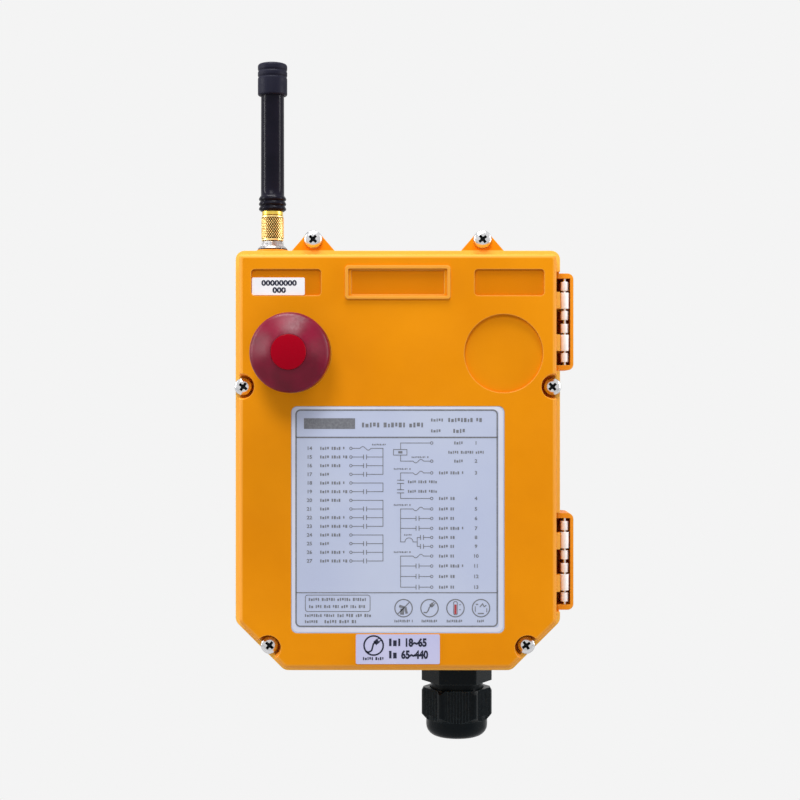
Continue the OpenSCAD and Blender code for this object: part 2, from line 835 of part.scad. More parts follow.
module estop_head()
{
    r = mushroom_d / 2;
    band_z = rim_z + rim_edge;
    color("firebrick") as_hung() on_button() difference() {
        union() {
            rotate_extrude() polygon(concat([[0, rim_z], [r, rim_z], [r, band_z]],
                [for (a = [20:20:80])
                    [shoulder_r + (r - shoulder_r) * cos(a), band_z + (shoulder_z - band_z) * sin(a)]],
                [[shoulder_r, shoulder_z], [disc_r, mushroom_z - disc_t / 2], [disc_r, mushroom_z],
                    [0, mushroom_z]]));
            translate([0, 0, hub_z]) cylinder(d = hub_d, h = rim_z - hub_z + head_skin);
        }
        difference() {
            translate([0, 0, rim_z - over]) cylinder(r1 = r - head_skin, r2 = shoulder_r - head_skin,
                h = shoulder_z - head_skin - rim_z + over);
            translate([0, 0, rim_z - 2 * over]) cylinder(d = hub_d, h = shoulder_z - rim_z + 2 * over);
        }
        translate([0, 0, mushroom_z - disc_t]) cylinder(r = disc_r - seat_gap, h = disc_t + over);
        translate([0, 0, hub_z - over]) cylinder(r = stem_d / 2 + run_gap,
            h = shoulder_z - head_skin - hub_z + over);
    }
}

module estop_disc()
{
    color("red") as_hung() on_button() translate([0, 0, mushroom_z - disc_t])
        cylinder(r = disc_r - 2 * seat_gap, h = disc_t);
}

module estop_stem()
{
    color("dimgray") as_hung() on_button() translate([0, 0, stem_z])
        cylinder(d = stem_d, h = shoulder_z - head_skin - stem_z);
}

// Return spring, its wire swept about the stem from the barrel's shelf up to the head's hub
module estop_spring()
{
    wire_r = spring_wire / 2;
    r = (stem_d + hub_d) / 4;
    low = shelf_z + wire_r;
    rise = hub_z - wire_r - low;
    last = spring_turns * spring_steps;
    rings = [for (k = [0:last]) let (a = 360 * k / spring_steps)
        [for (j = [0:spring_sides - 1]) let (b = 360 * j / spring_sides, q = r + wire_r * cos(b))
            [q * cos(a), q * sin(a), low + rise * k / last - wire_r * sin(b)]]];
    color("gray") as_hung() on_button() loft(rings);
}

module estop_collar()
{
    color("black") as_hung() on_button() difference() {
        union() {
            translate([0, 0, barrel_z]) cylinder(r = barrel_r, h = barrel_len + bezel_lip);
            translate([0, 0, bezel_z]) cylinder(d = bezel_d, h = bezel_h - bezel_lip);
            translate([0, 0, bezel_z + bezel_h - bezel_lip])
                cylinder(d1 = bezel_d, d2 = bezel_d - 2 * bezel_lip, h = bezel_lip);
        }
        translate([0, 0, barrel_z - over])
            cylinder(d = stem_d + 2 * stem_gap, h = barrel_len + bezel_h + 2 * over);
        translate([0, 0, shelf_z]) cylinder(d = hub_d + 2 * move_gap, h = barrel_len + bezel_h);
    }
}

module estop_seal()
{
    color("black") as_hung() on_button() translate([0, 0, button_z])
        tube(bezel_d / 2 - seat_gap, button_hole_d / 2, seal_t);
}

module estop_locknut()
{
    color("dimgray") as_hung() on_button() translate([0, 0, pad_z - locknut_t]) difference() {
        cylinder(d = locknut_d, h = locknut_t, $fn = 12);
        translate([0, 0, -over]) cylinder(r = barrel_r + run_gap, h = locknut_t + 2 * over);
    }
}

module estop_adapter()
{
    color("dimgray") as_hung() on_button() translate([0, 0, barrel_z]) difference() {
        plate(adapter_w, adapter_h, least_r, adapter_t);
        translate([0, 0, -over]) cylinder(r = barrel_r + run_gap, h = adapter_t + 2 * over);
    }
}

module contact_block()
{
    pusher_room = stem_z - pusher_len - button_travel - move_gap;
    stem_room = stem_z - button_travel - move_gap;
    color("whitesmoke") as_hung() on_button() difference() {
        union() {
            translate([0, 0, block_z]) plate(block_w, block_h, least_r, block_d);
            translate([0, 0, barrel_z - adapter_t])
                plate(block_w / 2, block_h + block_foot_t, least_r, adapter_t);
        }
        translate([0, 0, pusher_room]) cylinder(d = pusher_d + 2 * move_gap, h = block_d);
        translate([0, 0, stem_room]) cylinder(d = stem_d + 2 * move_gap, h = block_d);
        for (p = clamps) translate([p.x, p.y, block_z - over]) cylinder(d = clamp_d, h = clamp_deep + over);
    }
}

module contact_pusher()
{
    color("red") as_hung() on_button() translate([0, 0, stem_z - pusher_len])
        cylinder(d = pusher_d, h = pusher_len);
}

module contact_terminals()
{
    color("silver") as_hung() on_button() for (p = clamps)
        translate([p.x, p.y, block_z + clamp_deep / 2])
            cylinder(d = clamp_d - 2 * seat_gap, h = clamp_deep / 2);
}

module on_aerial() pointing_up(-aerial_x, aerial_z) children();

module antenna_whip()
{
    r = rod_d / 2;
    crest = rib_d / 2;
    color("black") as_hung() on_aerial() rotate_extrude() polygon(concat(
        [[0, ferrule_top], [crest - rib_deep_in, ferrule_top]],
        [for (k = [0:2]) for (step = [[0, rib_up_share], [0, rib_down_share], [1, rib_foot_share], [1, 1]])
            [crest - rib_deep_in * step.x, ferrule_top + (k + step.y) * rib_pitch]],
        [[r, ribs_top], [r, cap_y], [r * spigot_share, cap_y], [r * spigot_share, spigot_y],
            [0, spigot_y]]));
}

// Profile of the cap: shares of its length measured down from the tip, and steps in from its side
module antenna_cap()
{
    r = cap_d / 2;
    color("dimgray") as_hung() on_aerial() difference() {
        rotate_extrude() polygon(concat([[0, cap_y]],
            [for (step = cap_steps_shares) [r - step.x * cap_groove, tip_y - step.y * cap_len]],
            [[r * cap_top_share, tip_y], [0, tip_y]]));
        translate([0, 0, cap_y - over])
            cylinder(r = rod_d / 2 * spigot_share + run_gap, h = over + spigot_y - cap_y + seat_gap);
    }
}

module antenna_ferrule()
{
    color("goldenrod") as_hung() on_aerial() union() {
        translate([0, 0, coupling_top + nut_gap]) cylinder(d = ferrule_d, h = ferrule_len);
        translate([0, 0, bulkhead_top])
            cylinder(d = ferrule_stub_d, h = ferrule_top - ferrule_len / 2 - bulkhead_top);
    }
}

module antenna_coupling_nut()
{
    r = coupling_d / 2;
    color("gold") as_hung() on_aerial() difference() {
        translate([0, 0, coupling_y]) linear_extrude(coupling_len)
            polygon([for (k = [0:2 * knurls_count - 1])
                let (q = r - knurl_deep * (k % 2), a = 180 * k / knurls_count) [q * cos(a), q * sin(a)]]);
        translate([0, 0, coupling_y - over])
            cylinder(d = bulkhead_d + 2 * stem_gap, h = bulkhead_top - coupling_y + over + move_gap);
        translate([0, 0, coupling_y - over])
            cylinder(d = ferrule_stub_d + 2 * stem_gap, h = coupling_len + 2 * over);
    }
}

module antenna_bulkhead()
{
    low = aerial_inner_y - shoulder_t;
    color("goldenrod") as_hung() on_aerial() union() {
        translate([0, 0, low]) cylinder(d = bulkhead_d, h = bulkhead_top - low);
        translate([0, 0, low]) cylinder(d = hex_d, h = shoulder_t, $fn = 6);
        translate([0, 0, low - plug_len]) cylinder(d = plug_d, h = plug_len + shoulder_t / 2);
    }
}

module antenna_hex_nut()
{
    color("silver") as_hung() on_aerial() translate([0, 0, washer_top]) difference() {
        intersection() {
            cylinder(d = hex_d, h = hex_t, $fn = 6);
            cylinder(d1 = hex_d, d2 = hex_d - hex_taper, h = hex_t);
        }
        translate([0, 0, -over]) cylinder(d = bulkhead_d + 2 * run_gap, h = hex_t + 2 * over);
    }
}

module antenna_washer()
{
    color("silver") as_hung() on_aerial() translate([0, 0, boss_top])
        tube(washer_d / 2, bulkhead_d / 2 + seat_gap, washer_t);
}

// Coaxial lead from the aerial socket down to the screened can on the radio board
module antenna_pigtail()
{
    start = [-aerial_x, aerial_inner_y - shoulder_t - plug_len, aerial_z];
    finish = [shield_x - shield_w / 2, radio_y, radio_top + lead_d / 2 + seat_gap];
    pull = lead_pull_share * norm(finish - start);
    route = [for (k = [0:lead_steps]) let (t = k / lead_steps, b = 1 - t)
        b * b * b * start + 3 * b * b * t * (start - [0, pull, 0]) + 3 * b * t * t * (finish - [pull, 0, 0])
            + t * t * t * finish];
    rings = [for (k = [0:lead_steps])
        let (d = k == 0 ? [0, -1, 0] : k == lead_steps ? [1, 0, 0] : unit(route[k + 1] - route[k - 1]),
            u = unit(cross(d, [0, 0, 1])), v = cross(d, u))
        [for (j = [0:lead_sides - 1]) let (a = 360 * j / lead_sides)
            route[k] + lead_d / 2 * (cos(a) * u + sin(a) * v)]];
    color("saddlebrown") as_hung() loft(rings);
}

module on_gland() pointing_down(gland_x, gland_z) children();

module gland_body()
{
    inner_end = gland_inner_y - gland_inner;
    color("black") as_hung() on_gland() difference() {
        union() {
            translate([0, 0, inner_end]) cylinder(r = gland_r, h = gland_hex_y + over - inner_end);
            intersection() {
                translate([0, 0, gland_hex_y]) cylinder(r = gland_corner_r, h = gland_hex_len, $fn = 6);
                translate([0, 0, gland_hex_y])
                    cylinder(r = gland_corner_r - corner_trim, h = gland_hex_len);
            }
            translate([0, 0, gland_hex_y]) cylinder(r = gland_r - seat_gap, h = claw_y - gland_hex_y);
        }
        translate([0, 0, inner_end - over])
            cylinder(r = seal_r - claw_step, h = claw_y - inner_end + 2 * over);
    }
}

// Cross-section of the dome nut: a hexagon with a pad of ribs on each flat
function dome_points() =
    let (flat = gland_af / 2)
    [for (f = [0:5]) let (a = 60 * f + 30) each concat(
        [for (k = [0:2 * dome_ribs_count])
            let (s = (k / dome_ribs_count - 1) * flat * tan(dome_pad_deg), q = flat - dome_rib_deep * (k % 2))
            [q * cos(a) - s * sin(a), q * sin(a) + s * cos(a)]],
        [gland_corner_r * [cos(a + 30), sin(a + 30)]])];

module gland_dome_nut()
{
    r = gland_corner_r - corner_trim;
    flat = gland_af / 2;
    hex_end = dome_y + dome_len * dome_hex_share;
    brow = hex_end + dome_chamfer;
    turn = dome_end - dome_len * dome_round_share;
    base = flat - dome_step;
    mouth = flat * mouth_share;
    inner_r = seal_r + claw_wall + stem_gap;
    color("black") as_hung() on_gland() difference() {
        union() {
            intersection() {
                translate([0, 0, dome_y]) linear_extrude(brow - dome_y) polygon(dome_points());
                rotate_extrude() polygon([[0, dome_y], [r - dome_rim, dome_y], [r, dome_y + 2 * dome_rim],
                    [r, hex_end], [base, brow], [0, brow]]);
            }
            rotate_extrude() polygon(concat(
                [[0, hex_end], [base, hex_end]],
                [for (a = [0:15:75]) [mouth + (base - mouth) * cos(a),
                    turn + (dome_end - turn) * sin(a)]],
                [[mouth, dome_end], [0, dome_end]]));
        }
        translate([0, 0, dome_y - over]) cylinder(r = gland_r + stem_gap, h = claw_y - dome_y + over);
        translate([0, 0, claw_y - over]) cylinder(r = inner_r, h = claw_len + over);
        translate([0, 0, claw_y + claw_len])
            cylinder(r1 = inner_r, r2 = mouth, h = (dome_end - claw_y - claw_len) / 2);
        translate([0, 0, dome_y]) cylinder(r = mouth, h = dome_len + over);
    }
}

module gland_seal()
{
    color("dimgray") as_hung() on_gland() translate([0, 0, claw_y]) tube(seal_r, cable_d / 2, claw_len);
}

module gland_claw()
{
    r = seal_r + run_gap;
    color("dimgray") as_hung() on_gland() translate([0, 0, claw_y]) difference() {
        tube(r + claw_wall, r, claw_len);
        for (k = [0:claw_slots_count / 2 - 1]) rotate([0, 0, 360 * k / claw_slots_count])
            translate([-r - 2 * claw_wall, -claw_slot_w / 2, claw_len / 4])
                cube([2 * r + 4 * claw_wall, claw_slot_w, claw_len]);
    }
}

module gland_gasket()
{
    color("dimgray") as_hung() on_gland() translate([0, 0, gland_y])
        tube(gland_af / 2 - gland_gasket_t, gland_r + seat_gap, gland_gasket_t);
}

module gland_locknut()
{
    color("dimgray") as_hung() on_gland() translate([0, 0, gland_inner_y - gland_locknut_t]) difference() {
        cylinder(d = (gland_af + locknut_af_gain) / cos(30), h = gland_locknut_t, $fn = 6);
        translate([0, 0, -over]) cylinder(r = gland_r + run_gap, h = gland_locknut_t + 2 * over);
    }
}

module wiring_label()
{
    color("lightgray") as_hung() translate([0, wiring_top - wiring_h / 2, face_z - label_recess_depth])
        plate(wiring_w, wiring_h, label_r, label_t);
}

module voltage_label()
{
    color("lavender") as_hung() translate([0, wiring_top - wiring_h - label_gap - voltage_h / 2, face_z])
        plate(voltage_w, voltage_h, small_label_r, label_t);
}

module serial_label()
{
    color("white") as_hung() translate([-face_recess_x - face_recess_w / 2 + serial_w / 2 + label_t,
        face_recess_y - face_recess_h / 2 + serial_h / 2 + label_t, face_z - face_recess_depth])
        plate(serial_w, serial_h, small_label_r, label_t);
}

module main_board()
{
    color("darkgreen") as_hung() difference() {
        translate([0, 0, board_z]) plate(board_w, board_h, least_r, board_t);
        for (p = posts) translate([p.x, p.y, board_z - over])
            cylinder(r = board_hole_r, h = board_t + 2 * over);
    }
}

module board_screws()
{
    color("silver") as_hung() for (p = posts) translate([p.x, p.y, board_top]) union() {
        cylinder(d = 2 * board_screw_d, h = board_screw_d * board_screw_head_share);
        translate([0, 0, -2 * board_screw_d]) cylinder(r = post_hole_r - run_gap, h = 2 * board_screw_d);
    }
}

module output_relays()
{
    color("royalblue") as_hung() for (s = [-1, 1]) for (k = [0:relays_count - 1])
        translate([s * (board_w / 2 - relay_in), -board_h / 2 + strip_low + relay_h / 2 + relay_pitch * k,
            board_top]) plate(relay_w, relay_h, least_r, relay_t);
}

// Row of screw terminals along one side of the board, its wire entries facing outwards
module terminal_strip(side, ways)
{
    low = -board_h / 2 + strip_low;
    shoulder = strip_h * strip_step_share;
    mirror([side < 0 ? 1 : 0, 0, 0]) translate([board_w / 2 - strip_in, low, board_top]) difference() {
        union() {
            translate([-strip_w / 2, 0, 0]) cube([strip_w, ways * way_pitch, shoulder]);
            translate([-strip_w / 2, 0, 0]) cube([strip_w * strip_step_share, ways * way_pitch, strip_h]);
        }
        for (k = [0:ways - 1]) translate([0, (k + 0.5) * way_pitch, 0]) {
            translate([-strip_w / 2 + strip_w * strip_step_share / 2, 0, shoulder])
                cylinder(d = way_slot, h = strip_h);
            translate([0, -way_slot / 2, strip_h / 8]) cube([strip_w, way_slot, shoulder - strip_h / 4]);
        }
    }
}

module terminal_strip_left() color("green") as_hung() terminal_strip(-1, left_ways);

module terminal_strip_right() color("green") as_hung() terminal_strip(1, right_ways);

module terminal_screws()
{
    x = board_w / 2 - strip_in - strip_w / 2 + strip_w * strip_step_share / 2;
    shoulder = strip_h * strip_step_share;
    color("silver") as_hung() for (row = [[-1, left_ways], [1, right_ways]]) for (k = [0:row.y - 1])
        translate([row.x * x, -board_h / 2 + strip_low + (k + 0.5) * way_pitch, board_top + shoulder])
            cylinder(d = way_slot - 2 * seat_gap, h = (strip_h - shoulder) / 2);
}

module fuses()
{
    color("lightcyan") as_hung() for (y = fuse_ys) translate([-fuse_len / 2, y, board_top + fuse_lift])
        rotate([0, 90, 0]) cylinder(d = fuse_d, h = fuse_len);
}

module fuse_clips()
{
    w = fuse_d * clip_w_share;
    color("silver") as_hung() for (y = fuse_ys) for (s = [-1, 1])
        translate([s * fuse_len * clip_at_share, y, board_top]) difference() {
            translate([-fuse_d / 2, -w / 2, 0]) cube([fuse_d, w, fuse_lift + fuse_d / 4]);
            translate([-fuse_d, 0, fuse_lift]) rotate([0, 90, 0])
                cylinder(d = fuse_d + 2 * bush_seat, h = 2 * fuse_d);
        }
}

module power_transformer()
{
    color("dimgray") as_hung() translate([trafo_x, trafo_y, board_top]) union() {
        plate(trafo_w, trafo_h, least_r, trafo_t);
        translate([0, 0, trafo_t]) plate(trafo_w * core_share, trafo_h * core_share, least_r, board_t);
    }
}

module capacitors()
{
    color("navy") as_hung() for (s = [-1, 1])
        translate([trafo_x + trafo_w / 2 + cap_can_d, trafo_y + s * can_pitch / 2, board_top])
            cylinder(d = cap_can_d, h = cap_can_h);
}

module radio_board()
{
    color("darkgreen") as_hung() translate([radio_x, radio_y, board_top + radio_lift])
        plate(radio_w, radio_h, least_r, radio_t);
}

module radio_header()
{
    color("black") as_hung() for (s = [-1, 1])
        translate([radio_x, radio_y + s * (radio_h / 2 - header_w), board_top])
            plate(radio_w * header_share, header_w, least_r, radio_lift);
}

module radio_shield()
{
    color("silver") as_hung() translate([shield_x, radio_y, radio_top])
        plate(shield_w, shield_h, least_r, shield_t);
}

module processor()
{
    color("black") as_hung() translate([0, chip_y, board_top]) plate(chip_w, chip_w, least_r, chip_t);
}

module status_leds()
{
    color("red") as_hung() for (k = [0:leds_count - 1])
        translate([(k - (leds_count - 1) / 2) * led_pitch, led_y, board_top]) cylinder(d = led_d, h = led_h);
}

rear_housing();
front_cover();
cover_gasket();
cover_screws();
screw_retainers();
cover_inserts();
wall_inserts();
hinge_pins();
housing_bushes();
cover_bushes();
estop_head();
estop_disc();
estop_stem();
estop_spring();
estop_collar();
estop_seal();
estop_locknut();
estop_adapter();
contact_block();
contact_pusher();
contact_terminals();
antenna_whip();
antenna_cap();
antenna_ferrule();
antenna_coupling_nut();
antenna_bulkhead();
antenna_hex_nut();
antenna_washer();
antenna_pigtail();
gland_body();
gland_dome_nut();
gland_seal();
gland_claw();
gland_gasket();
gland_locknut();
wiring_label();
voltage_label();
serial_label();
main_board();
board_screws();
output_relays();
terminal_strip_left();
terminal_strip_right();
terminal_screws();
fuses();
fuse_clips();
power_transformer();
capacitors();
radio_board();
radio_header();
radio_shield();
processor();
status_leds();
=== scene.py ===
import math

import bmesh
import bpy
from mathutils import Matrix, Vector


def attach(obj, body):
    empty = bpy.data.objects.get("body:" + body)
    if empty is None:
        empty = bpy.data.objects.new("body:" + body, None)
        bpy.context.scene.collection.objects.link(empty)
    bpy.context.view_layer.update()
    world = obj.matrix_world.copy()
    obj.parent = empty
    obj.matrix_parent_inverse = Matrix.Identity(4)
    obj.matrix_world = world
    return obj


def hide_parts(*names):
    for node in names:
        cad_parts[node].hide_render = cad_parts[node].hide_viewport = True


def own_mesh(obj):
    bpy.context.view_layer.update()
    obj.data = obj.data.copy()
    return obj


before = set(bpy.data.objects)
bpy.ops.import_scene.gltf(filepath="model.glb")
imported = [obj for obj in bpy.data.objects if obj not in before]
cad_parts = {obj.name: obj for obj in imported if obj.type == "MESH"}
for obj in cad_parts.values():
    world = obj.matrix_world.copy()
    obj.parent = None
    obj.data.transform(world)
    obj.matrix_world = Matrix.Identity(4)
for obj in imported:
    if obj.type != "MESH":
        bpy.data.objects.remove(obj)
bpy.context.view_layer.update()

# Camera: level with the box's upper third, 0.8 m in front of the cover face, as in the photograph.
camera = bpy.data.objects.new("Camera", bpy.data.cameras.new("Camera"))
bpy.context.collection.objects.link(camera)
bpy.context.scene.camera = camera
camera.data.sensor_width = 36
camera.data.lens = 71.3
camera.location = (0.0011, -0.878, 0.031)
camera.rotation_euler = (math.radians(90), 0, 0)

# Studio: soft lamps from above and both sides, an even pale surround, and a pale floor below the part.
bpy.context.scene.view_settings.view_transform = "Standard"
world = bpy.data.worlds.new("Surround")
bpy.context.scene.world = world
world.use_nodes = True
wn, wl = world.node_tree.nodes, world.node_tree.links
wn.clear()
rays = wn.new("ShaderNodeLightPath")
seen = wn.new("ShaderNodeMath")
seen.operation = "MAXIMUM"
through = wn.new("ShaderNodeMath")
through.operation = "MAXIMUM"
shown = wn.new("ShaderNodeBackground")
shown.inputs["Color"].default_value = (0.905, 0.905, 0.905, 1)
lighting = wn.new("ShaderNodeBackground")
lighting.inputs["Color"].default_value = (0.93, 0.95, 1.0, 1)
lighting.inputs["Strength"].default_value = 0.29
either = wn.new("ShaderNodeMixShader")
wl.new(rays.outputs["Is Camera Ray"], seen.inputs[0])
wl.new(rays.outputs["Is Glossy Ray"], seen.inputs[1])
wl.new(seen.outputs[0], through.inputs[0])
wl.new(rays.outputs["Is Transmission Ray"], through.inputs[1])
wl.new(through.outputs[0], either.inputs["Fac"])
wl.new(lighting.outputs[0], either.inputs[1])
wl.new(shown.outputs[0], either.inputs[2])
wl.new(either.outputs[0], wn.new("ShaderNodeOutputWorld").inputs["Surface"])

for name, place, size, power in (
        ("Top", (-0.1, -0.22, 1.0), (0.9, 0.22), 15.0), ("Left", (-1.1, -0.17, 0.35), (0.16, 0.8), 8.4),
        ("Right", (1.1, -0.17, 0.3), (0.16, 0.8), 7.5), ("Front", (-0.35, -1.5, 1.4), (0.8, 0.6), 16.3)):
    lamp = bpy.data.lights.new(name, "AREA")
    lamp.shape = "RECTANGLE"
    lamp.size, lamp.size_y, lamp.energy = size[0], size[1], power
    lamp_object = bpy.data.objects.new(name, lamp)
    bpy.context.collection.objects.link(lamp_object)
    lamp_object.location = place
    lamp_object.rotation_euler = (Vector((0, -0.04, 0.03)) - Vector(place)).to_track_quat("-Z", "Y").to_euler()

floor_mesh = bpy.data.meshes.new("Floor")
floor_mesh.from_pydata([(-1.6, -1.2, -0.34), (1.6, -1.2, -0.34), (1.6, 0.55, -0.34), (-1.6, 0.55, -0.34)], [],
                       [(0, 1, 2, 3)])
floor = bpy.data.objects.new("Floor", floor_mesh)
bpy.context.collection.objects.link(floor)
floor_paint = bpy.data.materials.new("Floor")
floor_paint.use_nodes = True
floor_shader = floor_paint.node_tree.nodes["Principled BSDF"]
floor_shader.inputs["Base Color"].default_value = (0.50, 0.50, 0.50, 1)
floor_shader.inputs["Roughness"].default_value = 0.7
floor.data.materials.append(floor_paint)


# Rear housing: the orange ABS tub with its flange, ears, hinge boxes and bosses, one injection
# moulding with a fine spark-eroded grain; its edges are painted paler, a painted highlight with some
# rubbing, and its inner corners are painted deeper as shade.
def inside(made):
    """A material's tree and its shader."""
    return made.node_tree, made.node_tree.nodes["Principled BSDF"]


def finish(name, colour, rough, metal=0.0, gloss=None, tones=None, sheen=None, grain=None, roll=None):
    """New material. Tones tint its colour, sheen varies its roughness and grain is its bump; each opens
    with the scale and detail of its noise. Roll is the radius to which its edges look rounded."""
    made = bpy.data.materials.new(name)
    made.use_nodes = True
    tree, shader = inside(made)
    shader.inputs["Base Color"].default_value = (*colour, 1)
    shader.inputs["Roughness"].default_value = rough
    shader.inputs["Metallic"].default_value = metal
    if gloss is not None:
        shader.inputs["Specular IOR Level"].default_value = gloss
    if tones:
        tint(tree, noise(tree, *tones[0]), shader.inputs["Base Color"], *tones[1:])
    if sheen:
        vary(tree, noise(tree, *sheen[0]), shader.inputs["Roughness"], *sheen[1:])
    if grain:
        relief(tree, shader, noise(tree, *grain[0]), *grain[1:], below=rounded(tree, roll) if roll else None)
    return made


def noise(tree, scale, detail, stretch=(1, 1, 1)):
    """Noise over the piece's own coordinates, which are metres in the row frame."""
    where = tree.nodes.new("ShaderNodeTexCoord")
    mapped = tree.nodes.new("ShaderNodeMapping")
    mapped.inputs["Scale"].default_value = stretch
    field = tree.nodes.new("ShaderNodeTexNoise")
    field.inputs["Scale"].default_value = scale
    field.inputs["Detail"].default_value = detail
    tree.links.new(where.outputs["Object"], mapped.inputs["Vector"])
    tree.links.new(mapped.outputs["Vector"], field.inputs["Vector"])
    return field.outputs["Fac"]


def vary(tree, source, target, low, high, start=0.3, end=0.7):
    """Scales a field to two limits and drives a value socket with it, if one is given."""
    scaled = tree.nodes.new("ShaderNodeMapRange")
    for limit, value in (("From Min", start), ("From Max", end), ("To Min", low), ("To Max", high)):
        scaled.inputs[limit].default_value = value
    tree.links.new(source, scaled.inputs["Value"])
    if target is not None:
        tree.links.new(scaled.outputs["Result"], target)
    return scaled.outputs["Result"]


def tint(tree, source, target, dark, light, start=0.3, end=0.7):
    """Colours a field from dark to light and drives a colour socket with it, if one is given."""
    ramp = tree.nodes.new("ShaderNodeValToRGB")
    for stop, at, colour in zip(ramp.color_ramp.elements, (start, end), (dark, light)):
        stop.position, stop.color = at, (*colour, 1)
    tree.links.new(source, ramp.inputs["Fac"])
    if target is not None:
        tree.links.new(ramp.outputs["Color"], target)
    return ramp.outputs["Color"]


def relief(tree, shader, source, depth, strength, below=None):
    """Bump of a given depth in metres, laid over another normal if that is given."""
    bump = tree.nodes.new("ShaderNodeBump")
    bump.inputs["Strength"].default_value = strength
    bump.inputs["Distance"].default_value = depth
    tree.links.new(source, bump.inputs["Height"])
    if below is not None:
        tree.links.new(below, bump.inputs["Normal"])
    tree.links.new(bump.outputs["Normal"], shader.inputs["Normal"])


def settle(obj):
    """Turns a piece and its modifiers into one plain mesh."""
    bpy.context.view_layer.update()
    graph = bpy.context.evaluated_depsgraph_get()
    mesh = bpy.data.meshes.new_from_object(obj.evaluated_get(graph), preserve_all_data_layers=True,
                                           depsgraph=graph)
    obj.modifiers.clear()
    obj.data = mesh


def place(obj, body, slot_name, *nodes):
    """Lets a finished piece ride on its body and stand for its CAD nodes."""
    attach(obj, body)
    if nodes:
        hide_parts(*nodes)


def piece(name, mesh, made):
    """Links a mesh into the scene as a piece with one material."""
    obj = bpy.data.objects.new(name, mesh)
    bpy.context.collection.objects.link(obj)
    if made is not None:
        obj.data.materials.clear()
        obj.data.materials.append(made)
    return obj


def shell(node, name, made, angle=35, broad=0.0011):
    """The CAD solid's skin. Coplanar faces whose area is more than broad times their outline are flats:
    they stay flat, fillets run smoothly into them, and the corner attribute rim marks outer fillets."""
    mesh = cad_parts[node].data.copy()
    work = bmesh.new()
    work.from_mesh(mesh)
    bmesh.ops.remove_doubles(work, verts=work.verts, dist=2e-6)
    work.normal_update()
    work.faces.ensure_lookup_table()
    group, area = [-1] * len(work.faces), []
    for first in work.faces:
        if group[first.index] >= 0:
            continue
        group[first.index], waiting = len(area), [first]
        area.append(0.0)
        while waiting:
            face = waiting.pop()
            area[-1] += face.calc_area()
            for edge in face.edges:
                for other in edge.link_faces:
                    if group[other.index] < 0 and other.normal.dot(first.normal) > 0.99999:
                        group[other.index] = group[first.index]
                        waiting.append(other)
    girth, bend = [0.0] * len(area), [0.0] * len(area)
    for edge in work.edges:
        sides = {group[face.index] for face in edge.link_faces}
        if len(sides) == 2:
            for side in sides:
                girth[side] += edge.calc_length()
                bend[side] += edge.calc_length() * edge.calc_face_angle_signed(0.0)
    flat = [a > broad * g for a, g in zip(area, girth)]
    for edge in work.edges:
        linked = [group[face.index] for face in edge.link_faces]
        lean = edge.calc_face_angle(math.pi)
        edge.smooth = lean < math.radians(angle) and not (all(flat[k] for k in linked) and lean > 0.02)
    for face in work.faces:
        face.smooth = True
    normals, rims = {}, {}
    for vert in work.verts:
        touching = any(flat[group[face.index]] for face in vert.link_faces)
        rest = list(vert.link_faces)
        while rest:
            fan, waiting = [], [rest.pop()]
            while waiting:
                face = waiting.pop()
                fan.append(face)
                for edge in face.edges:
                    if edge.smooth and vert in edge.verts:
                        for other in edge.link_faces:
                            if other in rest:
                                rest.remove(other)
                                waiting.append(other)
            whole = sum((face.normal * area[group[face.index]] * (1e4 if flat[group[face.index]] else 1)
                         for face in fan), Vector())
            for face in fan:
                k = group[face.index]
                normals[face.index, vert.index] = whole.normalized()
                rims[face.index, vert.index] = (0.35 if touching else 1.0) * (bend[k] > 0 and not flat[k])
    keys = [(face.index, loop.vert.index) for face in work.faces for loop in face.loops]
    work.to_mesh(mesh)
    work.free()
    mesh.normals_split_custom_set([normals[key] for key in keys])
    mesh.attributes.new("rim", "FLOAT", "CORNER").data.foreach_set("value", [rims[key] for key in keys])
    return piece(name, mesh, made)


def fitted(node, name, made, body, slot_name, angle=35):
    """The CAD solid's skin as a finished piece on its body."""
    place(shell(node, name, made, angle), body, slot_name, node)


def rounded(tree, radius, samples=6):
    """Normal that rolls over every edge, as the small radii of a mould or a turned part do."""
    soft = tree.nodes.new("ShaderNodeBevel")
    soft.samples = samples
    soft.inputs["Radius"].default_value = radius
    return soft.outputs["Normal"]


def openness(tree, distance):
    """Field that is 1 on open faces and falls towards inner corners."""
    shade = tree.nodes.new("ShaderNodeAmbientOcclusion")
    shade.samples = 16
    shade.inputs["Distance"].default_value = distance
    return shade.outputs["AO"]


def outer_edges(tree, radius, start=0.02, end=0.22, shut=0.45, free=0.65):
    """Field that is 1 on outer edges, where a rolled normal leans off the face, and 0 in corners."""
    shape = tree.nodes.new("ShaderNodeNewGeometry")
    lean = tree.nodes.new("ShaderNodeVectorMath")
    lean.operation = "DOT_PRODUCT"
    tree.links.new(rounded(tree, radius), lean.inputs[0])
    tree.links.new(shape.outputs["Normal"], lean.inputs[1])
    both = tree.nodes.new("ShaderNodeMath")
    both.operation = "MULTIPLY"
    vary(tree, lean.outputs["Value"], both.inputs[0], 0.0, 1.0, 1 - start, 1 - end)
    vary(tree, openness(tree, 0.003), both.inputs[1], 0.0, 1.0, shut, free)
    return both.outputs[0]


def blended(tree, field, first, second):
    """Colour that goes from one to the other with a field; either may be a colour or a socket."""
    mix = tree.nodes.new("ShaderNodeMix")
    mix.data_type = "RGBA"
    tree.links.new(field, mix.inputs["Factor"])
    for given, socket in ((first, mix.inputs[6]), (second, mix.inputs[7])):
        if isinstance(given, tuple):
            socket.default_value = (*given, 1)
        else:
            tree.links.new(given, socket)
    return mix.outputs[2]


